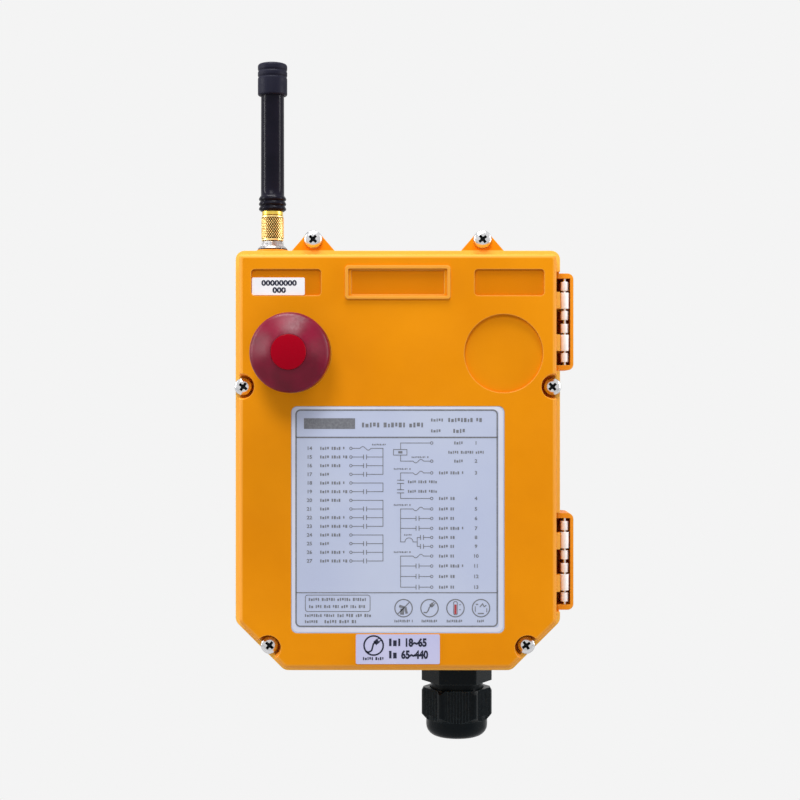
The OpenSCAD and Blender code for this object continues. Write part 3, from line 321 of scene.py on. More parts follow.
def moulded_orange(name, wear_and_highlight, corner, bands=()):
    """Orange ABS: deeper in corners as painted shade, and paler along rounded edges as painted highlight,
    partly rubbed; bands give the levels (from, to) in Y of flat painted colours: a deeper painted shade
    on the sunk seats and a paler painted highlight on the flange."""
    made = finish(name, (0.85, 0.30, 0.008), 0.42, gloss=0.08, sheen=((60, 5), 0.34, 0.50),
                  grain=((2600, 2), 0.00004, 0.35), roll=0.0004)
    tree, shader = inside(made)
    base = tint(tree, noise(tree, 22, 4), None, (0.76, 0.250, 0.0015), (0.84, 0.290, 0.0025))
    where = tree.nodes.new("ShaderNodeTexCoord")
    parts = tree.nodes.new("ShaderNodeSeparateXYZ")
    tree.links.new(where.outputs["Object"], parts.inputs[0])
    # Flat bands by Y level: a deeper painted shade on the sunk seats and a paler painted highlight on the
    # flange.
    for near, far, colour in bands:
        banded, under_ears = tree.nodes.new("ShaderNodeMath"), tree.nodes.new("ShaderNodeMath")
        banded.operation = under_ears.operation = "MULTIPLY"
        vary(tree, parts.outputs["Y"], under_ears.inputs[0], 0.0, 1.0, near - 0.0001, near)
        vary(tree, parts.outputs["Z"], under_ears.inputs[1], 1.0, 0.0, 0.1077, 0.1079)
        tree.links.new(under_ears.outputs[0], banded.inputs[0])
        vary(tree, parts.outputs["Y"], banded.inputs[1], 1.0, 0.0, far, far + 0.0001)
        base = blended(tree, banded.outputs[0], base, colour)
    # Painted shade: the colour goes deeper where nearby faces close round a spot.
    deep = blended(tree, vary(tree, openness(tree, 0.0025), None, 0.0, 1.0, 0.25, 0.7), corner, base)
    # Painted highlight, partly rubbing: outer edges and outer fillets are painted paler.
    rim = tree.nodes.new("ShaderNodeAttribute")
    rim.attribute_name = "rim"
    edge = tree.nodes.new("ShaderNodeMath")
    edge.operation = "MAXIMUM"
    vary(tree, outer_edges(tree, 0.0009), edge.inputs[0], 0.0, wear_and_highlight, 0.0, 1.0)
    vary(tree, rim.outputs["Fac"], edge.inputs[1], 0.0, wear_and_highlight * 0.6, 0.0, 1.0)
    tree.links.new(blended(tree, edge.outputs[0], deep, (1.0, 0.60, 0.150)), shader.inputs["Base Color"])
    return made


# The housing's third colour is the painted shade in its corners.
housing_orange = moulded_orange("Abs_housing", 0.4, (0.80, 0.270, 0.004))
fitted("rear_housing", "Housing", housing_orange, "housing", "housing_orange")

# Front cover: the orange ABS lid, moulded with the same grain; its flange, raised face, screw
# pockets, recesses and centre frame all have small moulded radii. Its sunk label seats and recess
# floors carry a painted shade, and its flange a painted highlight.
# The cover's third colour is the painted shade in its corners; its bands paint shade on the sunk seats and a
# highlight on the flange.
cover_orange = moulded_orange("Abs_cover", 0.42, (0.56, 0.150, 0.0005), (
    (-0.0778, -0.0766, (0.70, 0.207, 0.0005)), (-0.0655, -0.0638, (0.94, 0.540, 0.090))))
fitted("front_cover", "Cover", cover_orange, "cover", "housing_orange")

# Cover screws: six M5 pan-head machine screws, zinc-plated steel, cross recessed; each hangs in its
# pocket on a white nylon retainer and screws into a brass insert in the housing.
def skinned(name, verts, faces, made, angle):
    """Piece with smooth faces and edges that stay sharp beyond an angle."""
    mesh = bpy.data.meshes.new(name)
    mesh.from_pydata(verts, [], faces)
    mesh.shade_smooth()
    mesh.set_sharp_from_angle(angle=math.radians(angle))
    return piece(name, mesh, made)


def turned(name, profile, made, base=(0, 0, 0), up=(0, 0, 1), steps=96, smooth=32):
    """Piece turned from (radius, height) points, listed from the bottom axis outwards and up."""
    axis = Vector(up)
    turn = axis.to_track_quat("Z", "Y").to_matrix()
    verts, faces, rings = [], [], []
    for r, h in profile:
        count = 1 if r < 1e-9 else steps
        rings.append((len(verts), count))
        verts += [Vector(base) + turn @ Vector((r * math.cos(math.tau * k / steps),
                                                r * math.sin(math.tau * k / steps), h)) for k in range(count)]
    for (a, na), (b, nb) in zip(rings, rings[1:]):
        for k in range(steps):
            q = (k + 1) % steps
            if na == 1 and nb > 1:
                faces.append((a, b + q, b + k))
            elif nb == 1 and na > 1:
                faces.append((a + k, a + q, b))
            elif na > 1:
                faces.append((a + k, a + q, b + q, b + k))
    if rings[0][1] > 1 and rings[-1][1] > 1:
        (a, _), (b, _) = rings[-1], rings[0]
        faces += [(a + k, a + (k + 1) % steps, b + (k + 1) % steps, b + k) for k in range(steps)]
    return skinned(name, verts, faces, made, smooth)


def eased(points, r, steps=3):
    """A profile with each inner corner rounded by a radius, as far as its sides allow."""
    out = [points[0]]
    for a, p, b in zip(points, points[1:], points[2:]):
        a, p, b = Vector(a), Vector(p), Vector(b)
        cut = min(r, (a - p).length * 0.45, (b - p).length * 0.45)
        s, e = p + (a - p).normalized() * cut, p + (b - p).normalized() * cut
        for k in range(steps + 1):
            t = k / steps
            out.append(tuple(s * (1 - t) ** 2 + p * 2 * t * (1 - t) + e * t * t))
    return out + [points[-1]]


def spread(name, pattern, places, made, axis=(0, 0, 1)):
    """Copies of a pattern piece at (x, y, z, turn, size) places, turned about an axis, as one mesh."""
    marks = bpy.data.meshes.new(name + "_marks")
    marks.from_pydata([p[:3] for p in places], [], [])
    for key, at in (("turn", 3), ("size", 4)):
        marks.attributes.new(key, "FLOAT", "POINT").data.foreach_set(
            "value", [p[at] if len(p) > at else float(at == 4) for p in places])
    obj = piece(name, marks, None)
    group = bpy.data.node_groups.new("Spread_" + name, "GeometryNodeTree")
    for label, kind in (("Geometry", "Geometry"), ("Pattern", "Object"), ("Finish", "Material"),
                        ("Axis", "Vector")):
        group.interface.new_socket(label, in_out="INPUT", socket_type="NodeSocket" + kind)
    group.interface.new_socket("Geometry", in_out="OUTPUT", socket_type="NodeSocketGeometry")
    new, join = group.nodes.new, group.links.new
    given, result = new("NodeGroupInput"), new("NodeGroupOutput")
    info, turn, size = new("GeometryNodeObjectInfo"), new("GeometryNodeInputNamedAttribute"), new(
        "GeometryNodeInputNamedAttribute")
    turn.data_type = size.data_type = "FLOAT"
    turn.inputs["Name"].default_value, size.inputs["Name"].default_value = "turn", "size"
    angle, copies = new("FunctionNodeAxisAngleToRotation"), new("GeometryNodeInstanceOnPoints")
    solid, coat = new("GeometryNodeRealizeInstances"), new("GeometryNodeSetMaterial")
    join(given.outputs["Pattern"], info.inputs["Object"])
    join(given.outputs["Axis"], angle.inputs["Axis"])
    join(turn.outputs["Attribute"], angle.inputs["Angle"])
    join(given.outputs["Geometry"], copies.inputs["Points"])
    join(info.outputs["Geometry"], copies.inputs["Instance"])
    join(angle.outputs["Rotation"], copies.inputs["Rotation"])
    join(size.outputs["Attribute"], copies.inputs["Scale"])
    join(copies.outputs["Instances"], solid.inputs["Geometry"])
    join(solid.outputs["Geometry"], coat.inputs["Geometry"])
    join(given.outputs["Finish"], coat.inputs["Material"])
    join(coat.outputs["Geometry"], result.inputs["Geometry"])
    spreader = obj.modifiers.new("Spread", "NODES")
    spreader.node_group = group
    sockets = {s.name: s.identifier for s in group.interface.items_tree if s.in_out == "INPUT"}
    spreader[sockets["Pattern"]] = pattern
    spreader[sockets["Finish"]] = made
    spreader[sockets["Axis"]] = axis
    settle(obj)
    for key in ("turn", "size"):
        if key in obj.data.attributes:
            obj.data.attributes.remove(obj.data.attributes[key])
    bpy.data.objects.remove(pattern)
    return obj


def cut_out(obj, *tools):
    """Takes the tools' volumes out of a piece."""
    for tool in tools:
        cut = obj.modifiers.new("Cut", "BOOLEAN")
        cut.operation, cut.solver, cut.object = "DIFFERENCE", "EXACT", tool
    settle(obj)
    for tool in tools:
        bpy.data.objects.remove(tool)
    return obj


def block(name, low, high, made=None, edge=0.0, steps=2):
    """Box between two corners with rounded edges."""
    mesh = bpy.data.meshes.new(name)
    work = bmesh.new()
    bmesh.ops.create_cube(work, size=1)
    for v in work.verts:
        v.co = Vector([(low[k] + high[k]) / 2 + v.co[k] * (high[k] - low[k]) for k in range(3)])
    if edge:
        bmesh.ops.bevel(work, geom=work.edges[:], offset=edge, segments=steps, affect="EDGES", profile=0.5)
    work.to_mesh(mesh)
    work.free()
    mesh.shade_smooth()
    mesh.set_sharp_from_angle(angle=math.radians(32))
    return piece(name, mesh, made)


def marked(made, attribute, plain, there, start, end):
    """Lets a mesh attribute take a material's colour from its plain one to the one at the mark."""
    tree, shader = inside(made)
    mark = tree.nodes.new("ShaderNodeAttribute")
    mark.attribute_name = attribute
    tint(tree, mark.outputs["Fac"], shader.inputs["Base Color"], plain, there, start, end)


zinc = finish("Zinc_plate", (0.66, 0.66, 0.66), 0.2, metal=1.0, sheen=((900, 3), 0.12, 0.34),
              grain=((700, 2), 0.00002, 0.3))
# Painted shade: the faces inside the cross recess are painted near black.
marked(zinc, "hollow", (0.66, 0.66, 0.67), (0.010, 0.011, 0.012), 0.05, 0.8)

recess_r, recess_top, recess_floor = 0.0027, -0.0031, -0.0005
screw = turned("Screw_pattern", eased(
    [(0, -0.0100), (0.0012, -0.0100), (0.0023, -0.0080), (0.0023, 0), (0.0047, 0), (0.0047, 0.0015),
     (0.0042, 0.0026), (0.0028, 0.0033), (0, 0.0034)], 0.0004), zinc, up=(0, -1, 0), steps=64)
wings = []
for angle in (0, 90):
    wing = block("Wing", (-0.0026, -0.0041, -0.00075), (0.0026, -0.0008, 0.00075))
    for v in wing.data.vertices:
        sink = max(0.0, (v.co.y + 0.0034) / 0.0026)
        v.co.x *= 1 - 0.4 * sink
        v.co.z *= 1 - 0.3 * sink
    wing.data.transform(Matrix.Rotation(math.radians(angle), 4, "Y"))
    wings.append(wing)
hub = turned("Wing_hub", [(0, 0.0006), (0.0007, 0.0010), (0.0014, 0.0041), (0, 0.0041)], None,
             up=(0, -1, 0), steps=24)
cut_out(screw, *wings, hub)
screw.data.attributes.new("hollow", "FLOAT", "FACE").data.foreach_set("value", [
    float(math.hypot(f.center.x, f.center.z) < recess_r and recess_top < f.center.y < recess_floor)
    for f in screw.data.polygons])
screw.data.set_sharp_from_angle(angle=math.radians(30))
screw_places = [(x, -0.065, z, math.radians(turn), 1.0) for x, z, turn in (
    (-0.0434, 0.1133, 42), (0.0434, 0.1133, 50), (-0.07905, 0.0378, 36), (0.07905, 0.0378, 48),
    (-0.0656, -0.0944, 40), (0.0656, -0.0944, 55))]
screws = spread("Cover_screws", screw, screw_places, zinc, axis=(0, 1, 0))
place(screws, "cover", "zinc_steel", "cover_screws")

# Hinges: two plated steel pins held in the end walls of the housing's boxes, threaded through nylon
# bushes; the long bushes turn with the cover's arms, the short ones sit on the housing's arms.
nylon = finish("Nylon_white", (0.80, 0.72, 0.69), 0.38,
               tones=((420, 4), (0.88, 0.89, 0.90), (0.96, 0.97, 0.98), 0.25, 0.6),
               grain=((1500, 3), 0.00006, 0.4))

pin_x, pin_y, hinge_heights = 0.0863, -0.0575, (0.0714, -0.0524)
bush_groups = [z + s * 0.0109 for z in hinge_heights for s in (-1, 1)]
big = turned("Bush_pattern", eased(
    [(0.00106, -0.0042), (0.00235, -0.0042), (0.00235, 0.0042), (0.00106, 0.0042)], 0.0004), nylon, steps=48)
small = turned("Small_bush_pattern", eased(
    [(0.00106, -0.00235), (0.0019, -0.00235), (0.0019, 0.00235), (0.00106, 0.00235)], 0.0003), nylon, steps=48)
big_bushes = spread("Cover_bushes", big, [(pin_x, pin_y, z) for z in bush_groups], nylon)
place(big_bushes, "cover", "nylon_white", "cover_bushes")
small_bushes = spread("Housing_bushes", small, [(pin_x, pin_y, z + s * 0.00755)
                                                for z in bush_groups for s in (-1, 1)], nylon)
place(small_bushes, "housing", "nylon_white", "housing_bushes")
pin = turned("Pin_pattern", eased([(0, -0.0237), (0.001, -0.0237), (0.001, 0.0237), (0, 0.0237)], 0.0003),
             zinc, steps=32)
pins = spread("Hinge_pins", pin, [(pin_x, pin_y, z) for z in hinge_heights], zinc)
place(pins, "housing", "zinc_steel", "hinge_pins")

# Emergency stop: a 40 mm mushroom of glossy dark red plastic round a flat bright disc, over a black
# threaded barrel with a bevelled bezel that clamps to the cover on a thin rubber seal.
dark_red = finish("Mushroom_red", (0.16, 0.0, 0.010), 0.30, gloss=0.2,
                  tones=((90, 4), (0.11, 0.0, 0.012), (0.18, 0.0, 0.020)), sheen=((700, 4), 0.30, 0.44),
                  grain=((180, 2), 0.00010, 0.12))

head_base = (-0.0535, 0, 0.0545)
head_profile = [(0, 0.0970), (0.0054, 0.0970), (0.0054, 0.0860), (0.0082, 0.0860), (0.0082, 0.0912),
                (0.0168, 0.0912), (0.0184, 0.0900), (0.0197, 0.0900), (0.0200, 0.0906), (0.0200, 0.0932),
                (0.01992, 0.0943), (0.0197, 0.0952), (0.0193, 0.0959), (0.0187, 0.0965), (0.0178, 0.0971),
                (0.0162, 0.0982), (0.0120, 0.1013), (0.0094, 0.1032), (0.0089, 0.10345), (0.0089, 0.1028),
                (0, 0.1028)]
head = turned("Mushroom_head", head_profile, dark_red, base=head_base, up=(0, -1, 0), steps=160, smooth=40)
place(head, "button", "button_red", "estop_head")

bright_red = finish("Disc_red", (0.34, 0.0, 0.010), 0.34, gloss=0.06, sheen=((500, 4), 0.22, 0.40),
                    grain=((900, 2), 0.00003, 0.3))
disc = turned("Mushroom_disc", eased([(0, 0.1029), (0.0087, 0.1029), (0.0087, 0.1040), (0, 0.1040)], 0.0003),
              bright_red, base=head_base, up=(0, -1, 0), steps=96)
place(disc, "button", "disc_red", "estop_disc")

black = finish("Black_plastic", (0.012, 0.012, 0.014), 0.42, gloss=0.25, sheen=((400, 4), 0.34, 0.55),
               grain=((2200, 2), 0.00003, 0.4))
thread = [(0.01095 - 0.00035 * (k % 2), 0.0610 + 0.0005 * k) for k in range(0, 24)]
bezel = turned("Stop_bezel", [(0.00565, 0.0605), (0.0106, 0.0605)] + thread + [
    (0.01095, 0.0735), (0.01095, 0.0775), (0.0143, 0.0775), (0.0145, 0.0777), (0.0145, 0.0798),
    (0.0143, 0.0802), (0.0127, 0.0818), (0.0124, 0.0820), (0.0089, 0.0820), (0.0087, 0.0816), (0.0087, 0.0699),
    (0.00565, 0.0699)], black, base=head_base, up=(0, -1, 0), steps=120)
place(bezel, "cover", "black_plastic", "estop_collar")

# Cover gasket and screw retainers: a black foam-rubber cord pressed into the flange groove, and six
# thin nylon washers that keep the screws in the lid when they are undone.
rubber = finish("Black_rubber", (0.022, 0.022, 0.024), 0.72, gloss=0.25, sheen=((300, 5), 0.62, 0.85),
                grain=((3200, 3), 0.00005, 0.5), roll=0.0004)
fitted("cover_gasket", "Cover_gasket", rubber, "cover", "gasket_grey")
fitted("screw_retainers", "Screw_retainers", nylon, "cover", "nylon_white")

# Inserts: six brass bushes for the cover screws and four in the rear wall, knurled outside so that
# the moulded plastic grips them, and set into the housing hot.
brass = finish("Brass", (0.60, 0.40, 0.14), 0.30, metal=1.0,
               tones=((500, 4), (0.44, 0.28, 0.09), (0.66, 0.46, 0.17)), sheen=((900, 3), 0.22, 0.48),
               grain=((1200, 2, (1, 1, 4)), 0.00004, 0.5), roll=0.0003)
fitted("cover_inserts", "Cover_inserts", brass, "housing", "brass")
fitted("wall_inserts", "Wall_inserts", brass, "housing", "brass")

# Stop button's works: a grey stem and a nylon-collared nut behind the panel, a steel return spring,
# and a clip-on contact block with a red pusher and four clamp screws.
grey = finish("Grey_plastic", (0.20, 0.20, 0.21), 0.5, gloss=0.3,
              tones=((160, 4), (0.17, 0.17, 0.18), (0.23, 0.23, 0.24)), grain=((2400, 2), 0.00003, 0.4),
              roll=0.0005)
fitted("estop_seal", "Stop_seal", rubber, "cover", "black_rubber")
stem = turned("Stop_stem", eased(
    [(0, 0.0580), (0.0046, 0.0580), (0.0053, 0.0588), (0.0053, 0.0660), (0.0050, 0.0664), (0.0050, 0.0690),
     (0.0053, 0.0694), (0.0053, 0.0968), (0, 0.0968)], 0.0003), grey, base=head_base, up=(0, -1, 0), steps=64)
place(stem, "plunger", "grey_plastic", "estop_stem")
fitted("estop_locknut", "Stop_locknut", grey, "cover", "grey_plastic")
fitted("estop_adapter", "Stop_adapter", grey, "cover", "grey_plastic")


def swept(name, route, r, made, sides=12):
    """Round wire along a list of points, closed with flat ends."""
    verts, faces = [], []
    side = None
    for k, p in enumerate(route):
        along = (route[min(k + 1, len(route) - 1)] - route[max(k - 1, 0)]).normalized()
        side = (side - side.dot(along) * along).normalized() if side else along.orthogonal().normalized()
        up = along.cross(side)
        verts += [p + r * (math.cos(math.tau * j / sides) * side + math.sin(math.tau * j / sides) * up)
                  for j in range(sides)]
    for k in range(len(route) - 1):
        for j in range(sides):
            a, b = k * sides + j, k * sides + (j + 1) % sides
            faces.append((a, b, b + sides, a + sides))
    faces.append(tuple(reversed(range(sides))))
    faces.append(tuple(range(len(verts) - sides, len(verts))))
    return skinned(name, verts, faces, made, 50)


wire_steel = finish("Spring_wire", (0.42, 0.42, 0.42), 0.28, metal=1.0,
                    tones=((400, 3), (0.34, 0.34, 0.33), (0.5, 0.5, 0.5)),
                    sheen=((1400, 3, (1, 6, 1)), 0.2, 0.42))
coils, coil_steps, coil_r, coil_foot, coil_height = 5, 40, 0.00675, 0.07055, 0.01471
coil = []
for k in range(coils * coil_steps + 1):
    turn, lift = math.tau * k / coil_steps, k / (coils * coil_steps)
    coil.append(Vector((head_base[0] + coil_r * math.cos(turn), -(coil_foot + coil_height * lift),
                        head_base[2] + coil_r * math.sin(turn))))
spring = swept("Stop_spring", coil, 0.0006, wire_steel)
place(spring, "cover", "spring_steel", "estop_spring")
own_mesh(spring)

ivory = finish("Ivory_plastic", (0.62, 0.60, 0.54), 0.42, gloss=0.35,
               tones=((120, 4), (0.54, 0.51, 0.45), (0.66, 0.64, 0.58)), grain=((2200, 2), 0.00003, 0.4),
               roll=0.0006)
fitted("contact_block", "Contact_block", ivory, "cover", "label_white")
pusher = turned("Contact_pusher", eased(
    [(0, 0.0510), (0.0022, 0.0510), (0.0035, 0.0524), (0.0035, 0.0580), (0, 0.0580)], 0.0005), bright_red,
                base=head_base, up=(0, -1, 0), steps=48)
place(pusher, "plunger", "disc_red", "contact_pusher")
clamp = turned("Clamp_pattern", eased(
    [(0, 0), (0.0019, 0), (0.0019, 0.0012), (0.0016, 0.0015), (0, 0.0015)], 0.0002), zinc,
               up=(0, 1, 0), steps=40)
cut_out(clamp, block("Clamp_slot", (-0.0004, 0.0006, -0.003), (0.0004, 0.003, 0.003)))
clamps = spread("Contact_clamps", clamp, [(head_base[0] + sx * 0.006, -0.0405, head_base[2] + sz * 0.01088,
                                           0.5 * sx + 0.3 * sz, 1.0) for sx in (-1, 1) for sz in (-1, 1)],
                zinc, axis=(0, 1, 0))
place(clamps, "cover", "terminal_steel", "contact_terminals")

# Aerial socket and nuts: a gold-plated brass bulkhead plug through the housing's top boss, held by a
# nickel washer and nut on a thin rubber ring, with a diamond-knurled coupling nut over it.
nickel = finish("Nickel_plate", (0.55, 0.54, 0.53), 0.24, metal=1.0,
                tones=((300, 4), (0.30, 0.29, 0.29), (0.50, 0.49, 0.50)), sheen=((800, 4), 0.16, 0.42),
                grain=((1500, 2), 0.00002, 0.4), roll=0.0003)
gold = finish("Gold_plate", (0.80, 0.58, 0.10), 0.26, metal=1.0,
              tones=((240, 4), (0.70, 0.48, 0.06), (0.84, 0.62, 0.12)), sheen=((900, 3), 0.18, 0.36),
              grain=((1400, 2), 0.00002, 0.3), roll=0.0002)

aerial_base = (-0.0671, -0.030, 0)
fitted("antenna_bulkhead", "Aerial_bulkhead", gold, "housing", "gold_plate")
ring = turned("Aerial_ring", [(0.0050, 0.1110), (0.0079, 0.1110), (0.0079, 0.11155), (0.0050, 0.11155)],
              rubber, base=aerial_base, steps=96)
place(ring, "housing", "black_rubber")
washer = turned("Aerial_washer", [(0.0048, 0.1116), (0.0077, 0.1116), (0.0079, 0.1118), (0.0077, 0.1120),
                                  (0.0073, 0.1124), (0.0067, 0.1130), (0.0048, 0.1130)], nickel,
                base=aerial_base, steps=96)
place(washer, "housing", "nickel", "antenna_washer")


def hexagon(name, corner_r, low, high, bore, made, base, top_cut, turn):
    """Hexagon nut about a vertical axis, its top corners turned down by a cone."""
    nut = turned(name, [(bore, low), (corner_r * 1.2, low), (corner_r * 1.2, high), (bore, high)], made,
                 base=base, steps=96)
    flats = bpy.data.meshes.new("Flats")
    points = [(base[0] + corner_r * math.cos(math.radians(60 * k) + turn),
               base[1] + corner_r * math.sin(math.radians(60 * k) + turn)) for k in range(6)]
    over, rim = 0.001, 0.00001
    ends = base[2] + low - over, base[2] + high + over
    flats.from_pydata([(x, y, z) for z in ends for x, y in points], [],
                      [(5, 4, 3, 2, 1, 0), (6, 7, 8, 9, 10, 11)]
                      + [(k, (k + 1) % 6, (k + 1) % 6 + 6, k + 6) for k in range(6)])
    cone = turned("Cone", [(0, low - over), (corner_r, low - over), (corner_r, low), (corner_r, low + rim),
                           (corner_r, high - top_cut * 0.6 - rim), (corner_r - top_cut, high),
                           (corner_r - top_cut, high + over), (0, high + over)], None, base=base, steps=96)
    for tool in (piece("Flats", flats, None), cone):
        keep = nut.modifiers.new("Keep", "BOOLEAN")
        keep.operation, keep.solver, keep.object = "INTERSECT", "EXACT", tool
        settle(nut)
        bpy.data.objects.remove(tool)
    nut.data.shade_smooth()
    nut.data.set_sharp_from_angle(angle=math.radians(20))
    return nut


hex_nut = hexagon("Aerial_hex_nut", 0.0066, 0.1130, 0.1160, 0.00475, nickel, aerial_base, top_cut=0.0015,
                  turn=math.radians(30))
place(hex_nut, "housing", "nickel", "antenna_hex_nut")


def knurled(name, r, low, high, bore, made, base, around=28, rows=6, deep=0.0005, collar=0.0013, fine=8):
    """Nut with a diamond knurl between turned grooves and plain collars; the attribute sunk is 1 at the
    bottom of its cuts."""
    steps = around * fine
    first, last = low + collar, high - collar
    levels = rows * fine
    verts, faces, depth = [], [], []
    profile = [("plain", bore, low), ("plain", r - 0.00035, low), ("plain", r - 0.00015, low + 0.0002),
               ("plain", r - 0.00015, first - 0.0004), ("turned", r - 0.0007, first - 0.0003),
               ("turned", r - 0.0007, first - 0.0001)]
    profile += [("cut", r, first + (last - first) * k / levels) for k in range(levels + 1)]
    profile += [("turned", r - 0.0007, last + 0.0001), ("turned", r - 0.0007, last + 0.0003),
                ("plain", r - 0.00015, last + 0.0004), ("plain", r - 0.00015, high - 0.0002),
                ("plain", r - 0.00035, high), ("plain", bore, high)]
    for kind, radius, h in profile:
        for j in range(steps):
            sunk = 0.8 * (kind == "turned")
            if kind == "cut":
                u, v = j / fine, (h - first) / (last - first) * rows
                edge = min(abs((u + v) % 1 - 0.5), abs((u - v) % 1 - 0.5)) * 2
                sunk = 1 - min(1.0, edge * 2.0)
            a = math.tau * j / steps
            q = radius - sunk * deep * (kind == "cut")
            verts.append((base[0] + q * math.cos(a), base[1] + q * math.sin(a), base[2] + h))
            depth.append(sunk)
    count = len(profile)
    for k in range(count):
        for j in range(steps):
            a, b = k * steps + j, k * steps + (j + 1) % steps
            c, d = (k + 1) % count * steps + (j + 1) % steps, (k + 1) % count * steps + j
            faces.append((a, b, c, d))
    nut = skinned(name, verts, faces, made, 40)
    nut.data.attributes.new("sunk", "FLOAT", "POINT").data.foreach_set("value", depth)
    return nut


knurl_gold = finish("Knurled_gold", (0.70, 0.48, 0.15), 0.34, metal=1.0, sheen=((900, 3), 0.30, 0.46))
# Painted shade: the bottoms of the knurl's cuts and its turned grooves are painted near black.
marked(knurl_gold, "sunk", (0.92, 0.70, 0.28), (0.030, 0.013, 0.003), 0.05, 0.6)
coupling = knurled("Aerial_coupling_nut", 0.0060, 0.1161, 0.1294, 0.00475, knurl_gold, aerial_base)
place(coupling, "aerial_nut", "gold_plate", "antenna_coupling_nut")
ferrule = turned("Aerial_ferrule", [(0, 0.12497), (0.0032, 0.12497), (0.0032, 0.1295), (0.0051, 0.1295),
                                    (0.0056, 0.1298), (0.0056, 0.1317), (0, 0.1317)], gold,
                 base=aerial_base, steps=96)
place(ferrule, "housing", "gold_plate", "antenna_ferrule")

# Whip aerial: a wound rod in a dark satin sleeve with three moulded rings at its foot, under a soft
# rubber cap with two shallow grooves; a brown coaxial lead runs from the socket to the radio board.
sleeve = finish("Rod_sleeve", (0.006, 0.005, 0.012), 0.3, gloss=0.07,
                tones=((60, 3), (0.004, 0.004, 0.008), (0.008, 0.007, 0.014)), sheen=((500, 4), 0.18, 0.30),
                grain=((900, 2), 0.00002, 0.2))
ring_pitch = 0.00262
rod_profile = [(0, 0.1317), (0.0060, 0.1317), (0.0064, 0.1320)]
for k in range(3):
    foot = 0.1321 + ring_pitch * k
    rod_profile += [(0.00655, foot), (0.00715, foot + 0.0004), (0.0073, foot + 0.0010),
                    (0.0072, foot + 0.0014), (0.0068, foot + 0.0021), (0.00655, foot + 0.0025)]
rod_profile += [(0.00625, 0.1401), (0.00622, 0.1440), (0.00615, 0.1937), (0.0050, 0.1937), (0.0050, 0.2050),
                (0, 0.2050)]
rod = turned("Aerial_rod", rod_profile, sleeve, base=aerial_base, steps=128, smooth=50)
place(rod, "housing", "rod_black", "antenna_whip")

cap_rubber = finish("Cap_rubber", (0.008, 0.008, 0.018), 0.42, gloss=0.10, sheen=((260, 5), 0.42, 0.62),
                    grain=((2400, 3), 0.00004, 0.4))
cap = turned("Aerial_cap", eased([
    (0.00506, 0.2052), (0.00506, 0.1937), (0.0074, 0.1937), (0.00785, 0.1943), (0.00785, 0.2028),
    (0.00745, 0.2035), (0.00785, 0.2043), (0.00785, 0.2061), (0.00745, 0.2068), (0.00785, 0.2076),
    (0.00785, 0.2096), (0.0074, 0.2104), (0.0058, 0.2109), (0, 0.2109)], 0.0005, 4), cap_rubber,
                    base=aerial_base, steps=128, smooth=60)
place(cap, "housing", "black_rubber", "antenna_cap")

jacket = finish("Brown_jacket", (0.16, 0.055, 0.02), 0.4, gloss=0.35,
                tones=((500, 4), (0.12, 0.04, 0.014), (0.20, 0.07, 0.026)), grain=((1800, 2), 0.00003, 0.4))
fitted("antenna_pigtail", "Aerial_lead", jacket, "housing", "lead_brown", 60)

# Cable gland: black nylon; a hexagon body held by a nut inside the box, a rubber seal in a slotted
# clamp, and a domed nut with a ribbed grip on each of its six flats that squeezes them on the cable.
gland_black = finish("Gland_nylon", (0.010, 0.012, 0.013), 0.34, gloss=0.09, sheen=((420, 4), 0.22, 0.36),
                     grain=((1600, 2), 0.00003, 0.35), roll=0.0001)
tree, shader = inside(gland_black)
# Painted highlight: open rib crests and outer edges are painted a pale grey-blue over the black nylon.
crest = outer_edges(tree, 0.0003, 0.02, 0.2, 0.1, 0.3)
ribbed = blended(tree, crest, (0.0020, 0.0040, 0.0055), (0.080, 0.100, 0.110))
tree.links.new(ribbed, shader.inputs["Base Color"])
for node, name in (("gland_body", "Gland_body"), ("gland_claw", "Gland_clamp"),
                   ("gland_locknut", "Gland_locknut")):
    fitted(node, name, gland_black, "housing", "gland_nylon", 28)
for node, name in (("gland_seal", "Gland_seal"), ("gland_gasket", "Gland_gasket")):
    fitted(node, name, rubber, "housing", "seal_rubber")
fitted("gland_dome_nut", "Gland_dome_nut", gland_black, "dome_nut", "gland_nylon", 18)

# Main board: green glass-epoxy board with copper tracks under the mask and white outlines printed on
# it, held on four posts by zinc-plated pan-head screws; everything on it is soldered through.
def strokes(name, lines, at, made, thick=0.00004):
    """Flat raised print: (points, width, closed) lines in millimetres of X and Z, on the plane Y = at."""
    verts, faces = [], []
    for points, width, closed in lines:
        flat = [Vector(p) / 1000 for p in points]
        count = len(flat)
        start = len(verts)
        for k, p in enumerate(flat):
            before = flat[k - 1] if k or closed else p
            after = flat[(k + 1) % count] if k < count - 1 or closed else p
            one, two = (p - before).normalized(), (after - p).normalized()
            one, two = (one if one.length else two), (two if two.length else one)
            along = (one + two).normalized() if (one + two).length > 1e-6 else one
            side = Vector((-along.y, along.x)) * width / 2000 / max(0.5, along.dot(one))
            for q, y in ((p + side, at), (p - side, at), (p - side, at - thick), (p + side, at - thick)):
                verts.append((q.x, y, q.y))
        for k in range(count if closed else count - 1):
            a, b = start + 4 * k, start + 4 * ((k + 1) % count)
            faces += [(a + j, b + j, b + (j + 1) % 4, a + (j + 1) % 4) for j in range(4)]
        if not closed:
            last = start + 4 * (count - 1)
            faces += [(start + 3, start + 2, start + 1, start), (last, last + 1, last + 2, last + 3)]
    mesh = bpy.data.meshes.new(name)
    mesh.from_pydata(verts, [], faces)
    work = bmesh.new()
    work.from_mesh(mesh)
    bmesh.ops.recalc_face_normals(work, faces=work.faces)
    work.to_mesh(mesh)
    work.free()
    return piece(name, mesh, made)


def line(width, *points):
    """Open line for strokes()."""
    return list(points), width, False


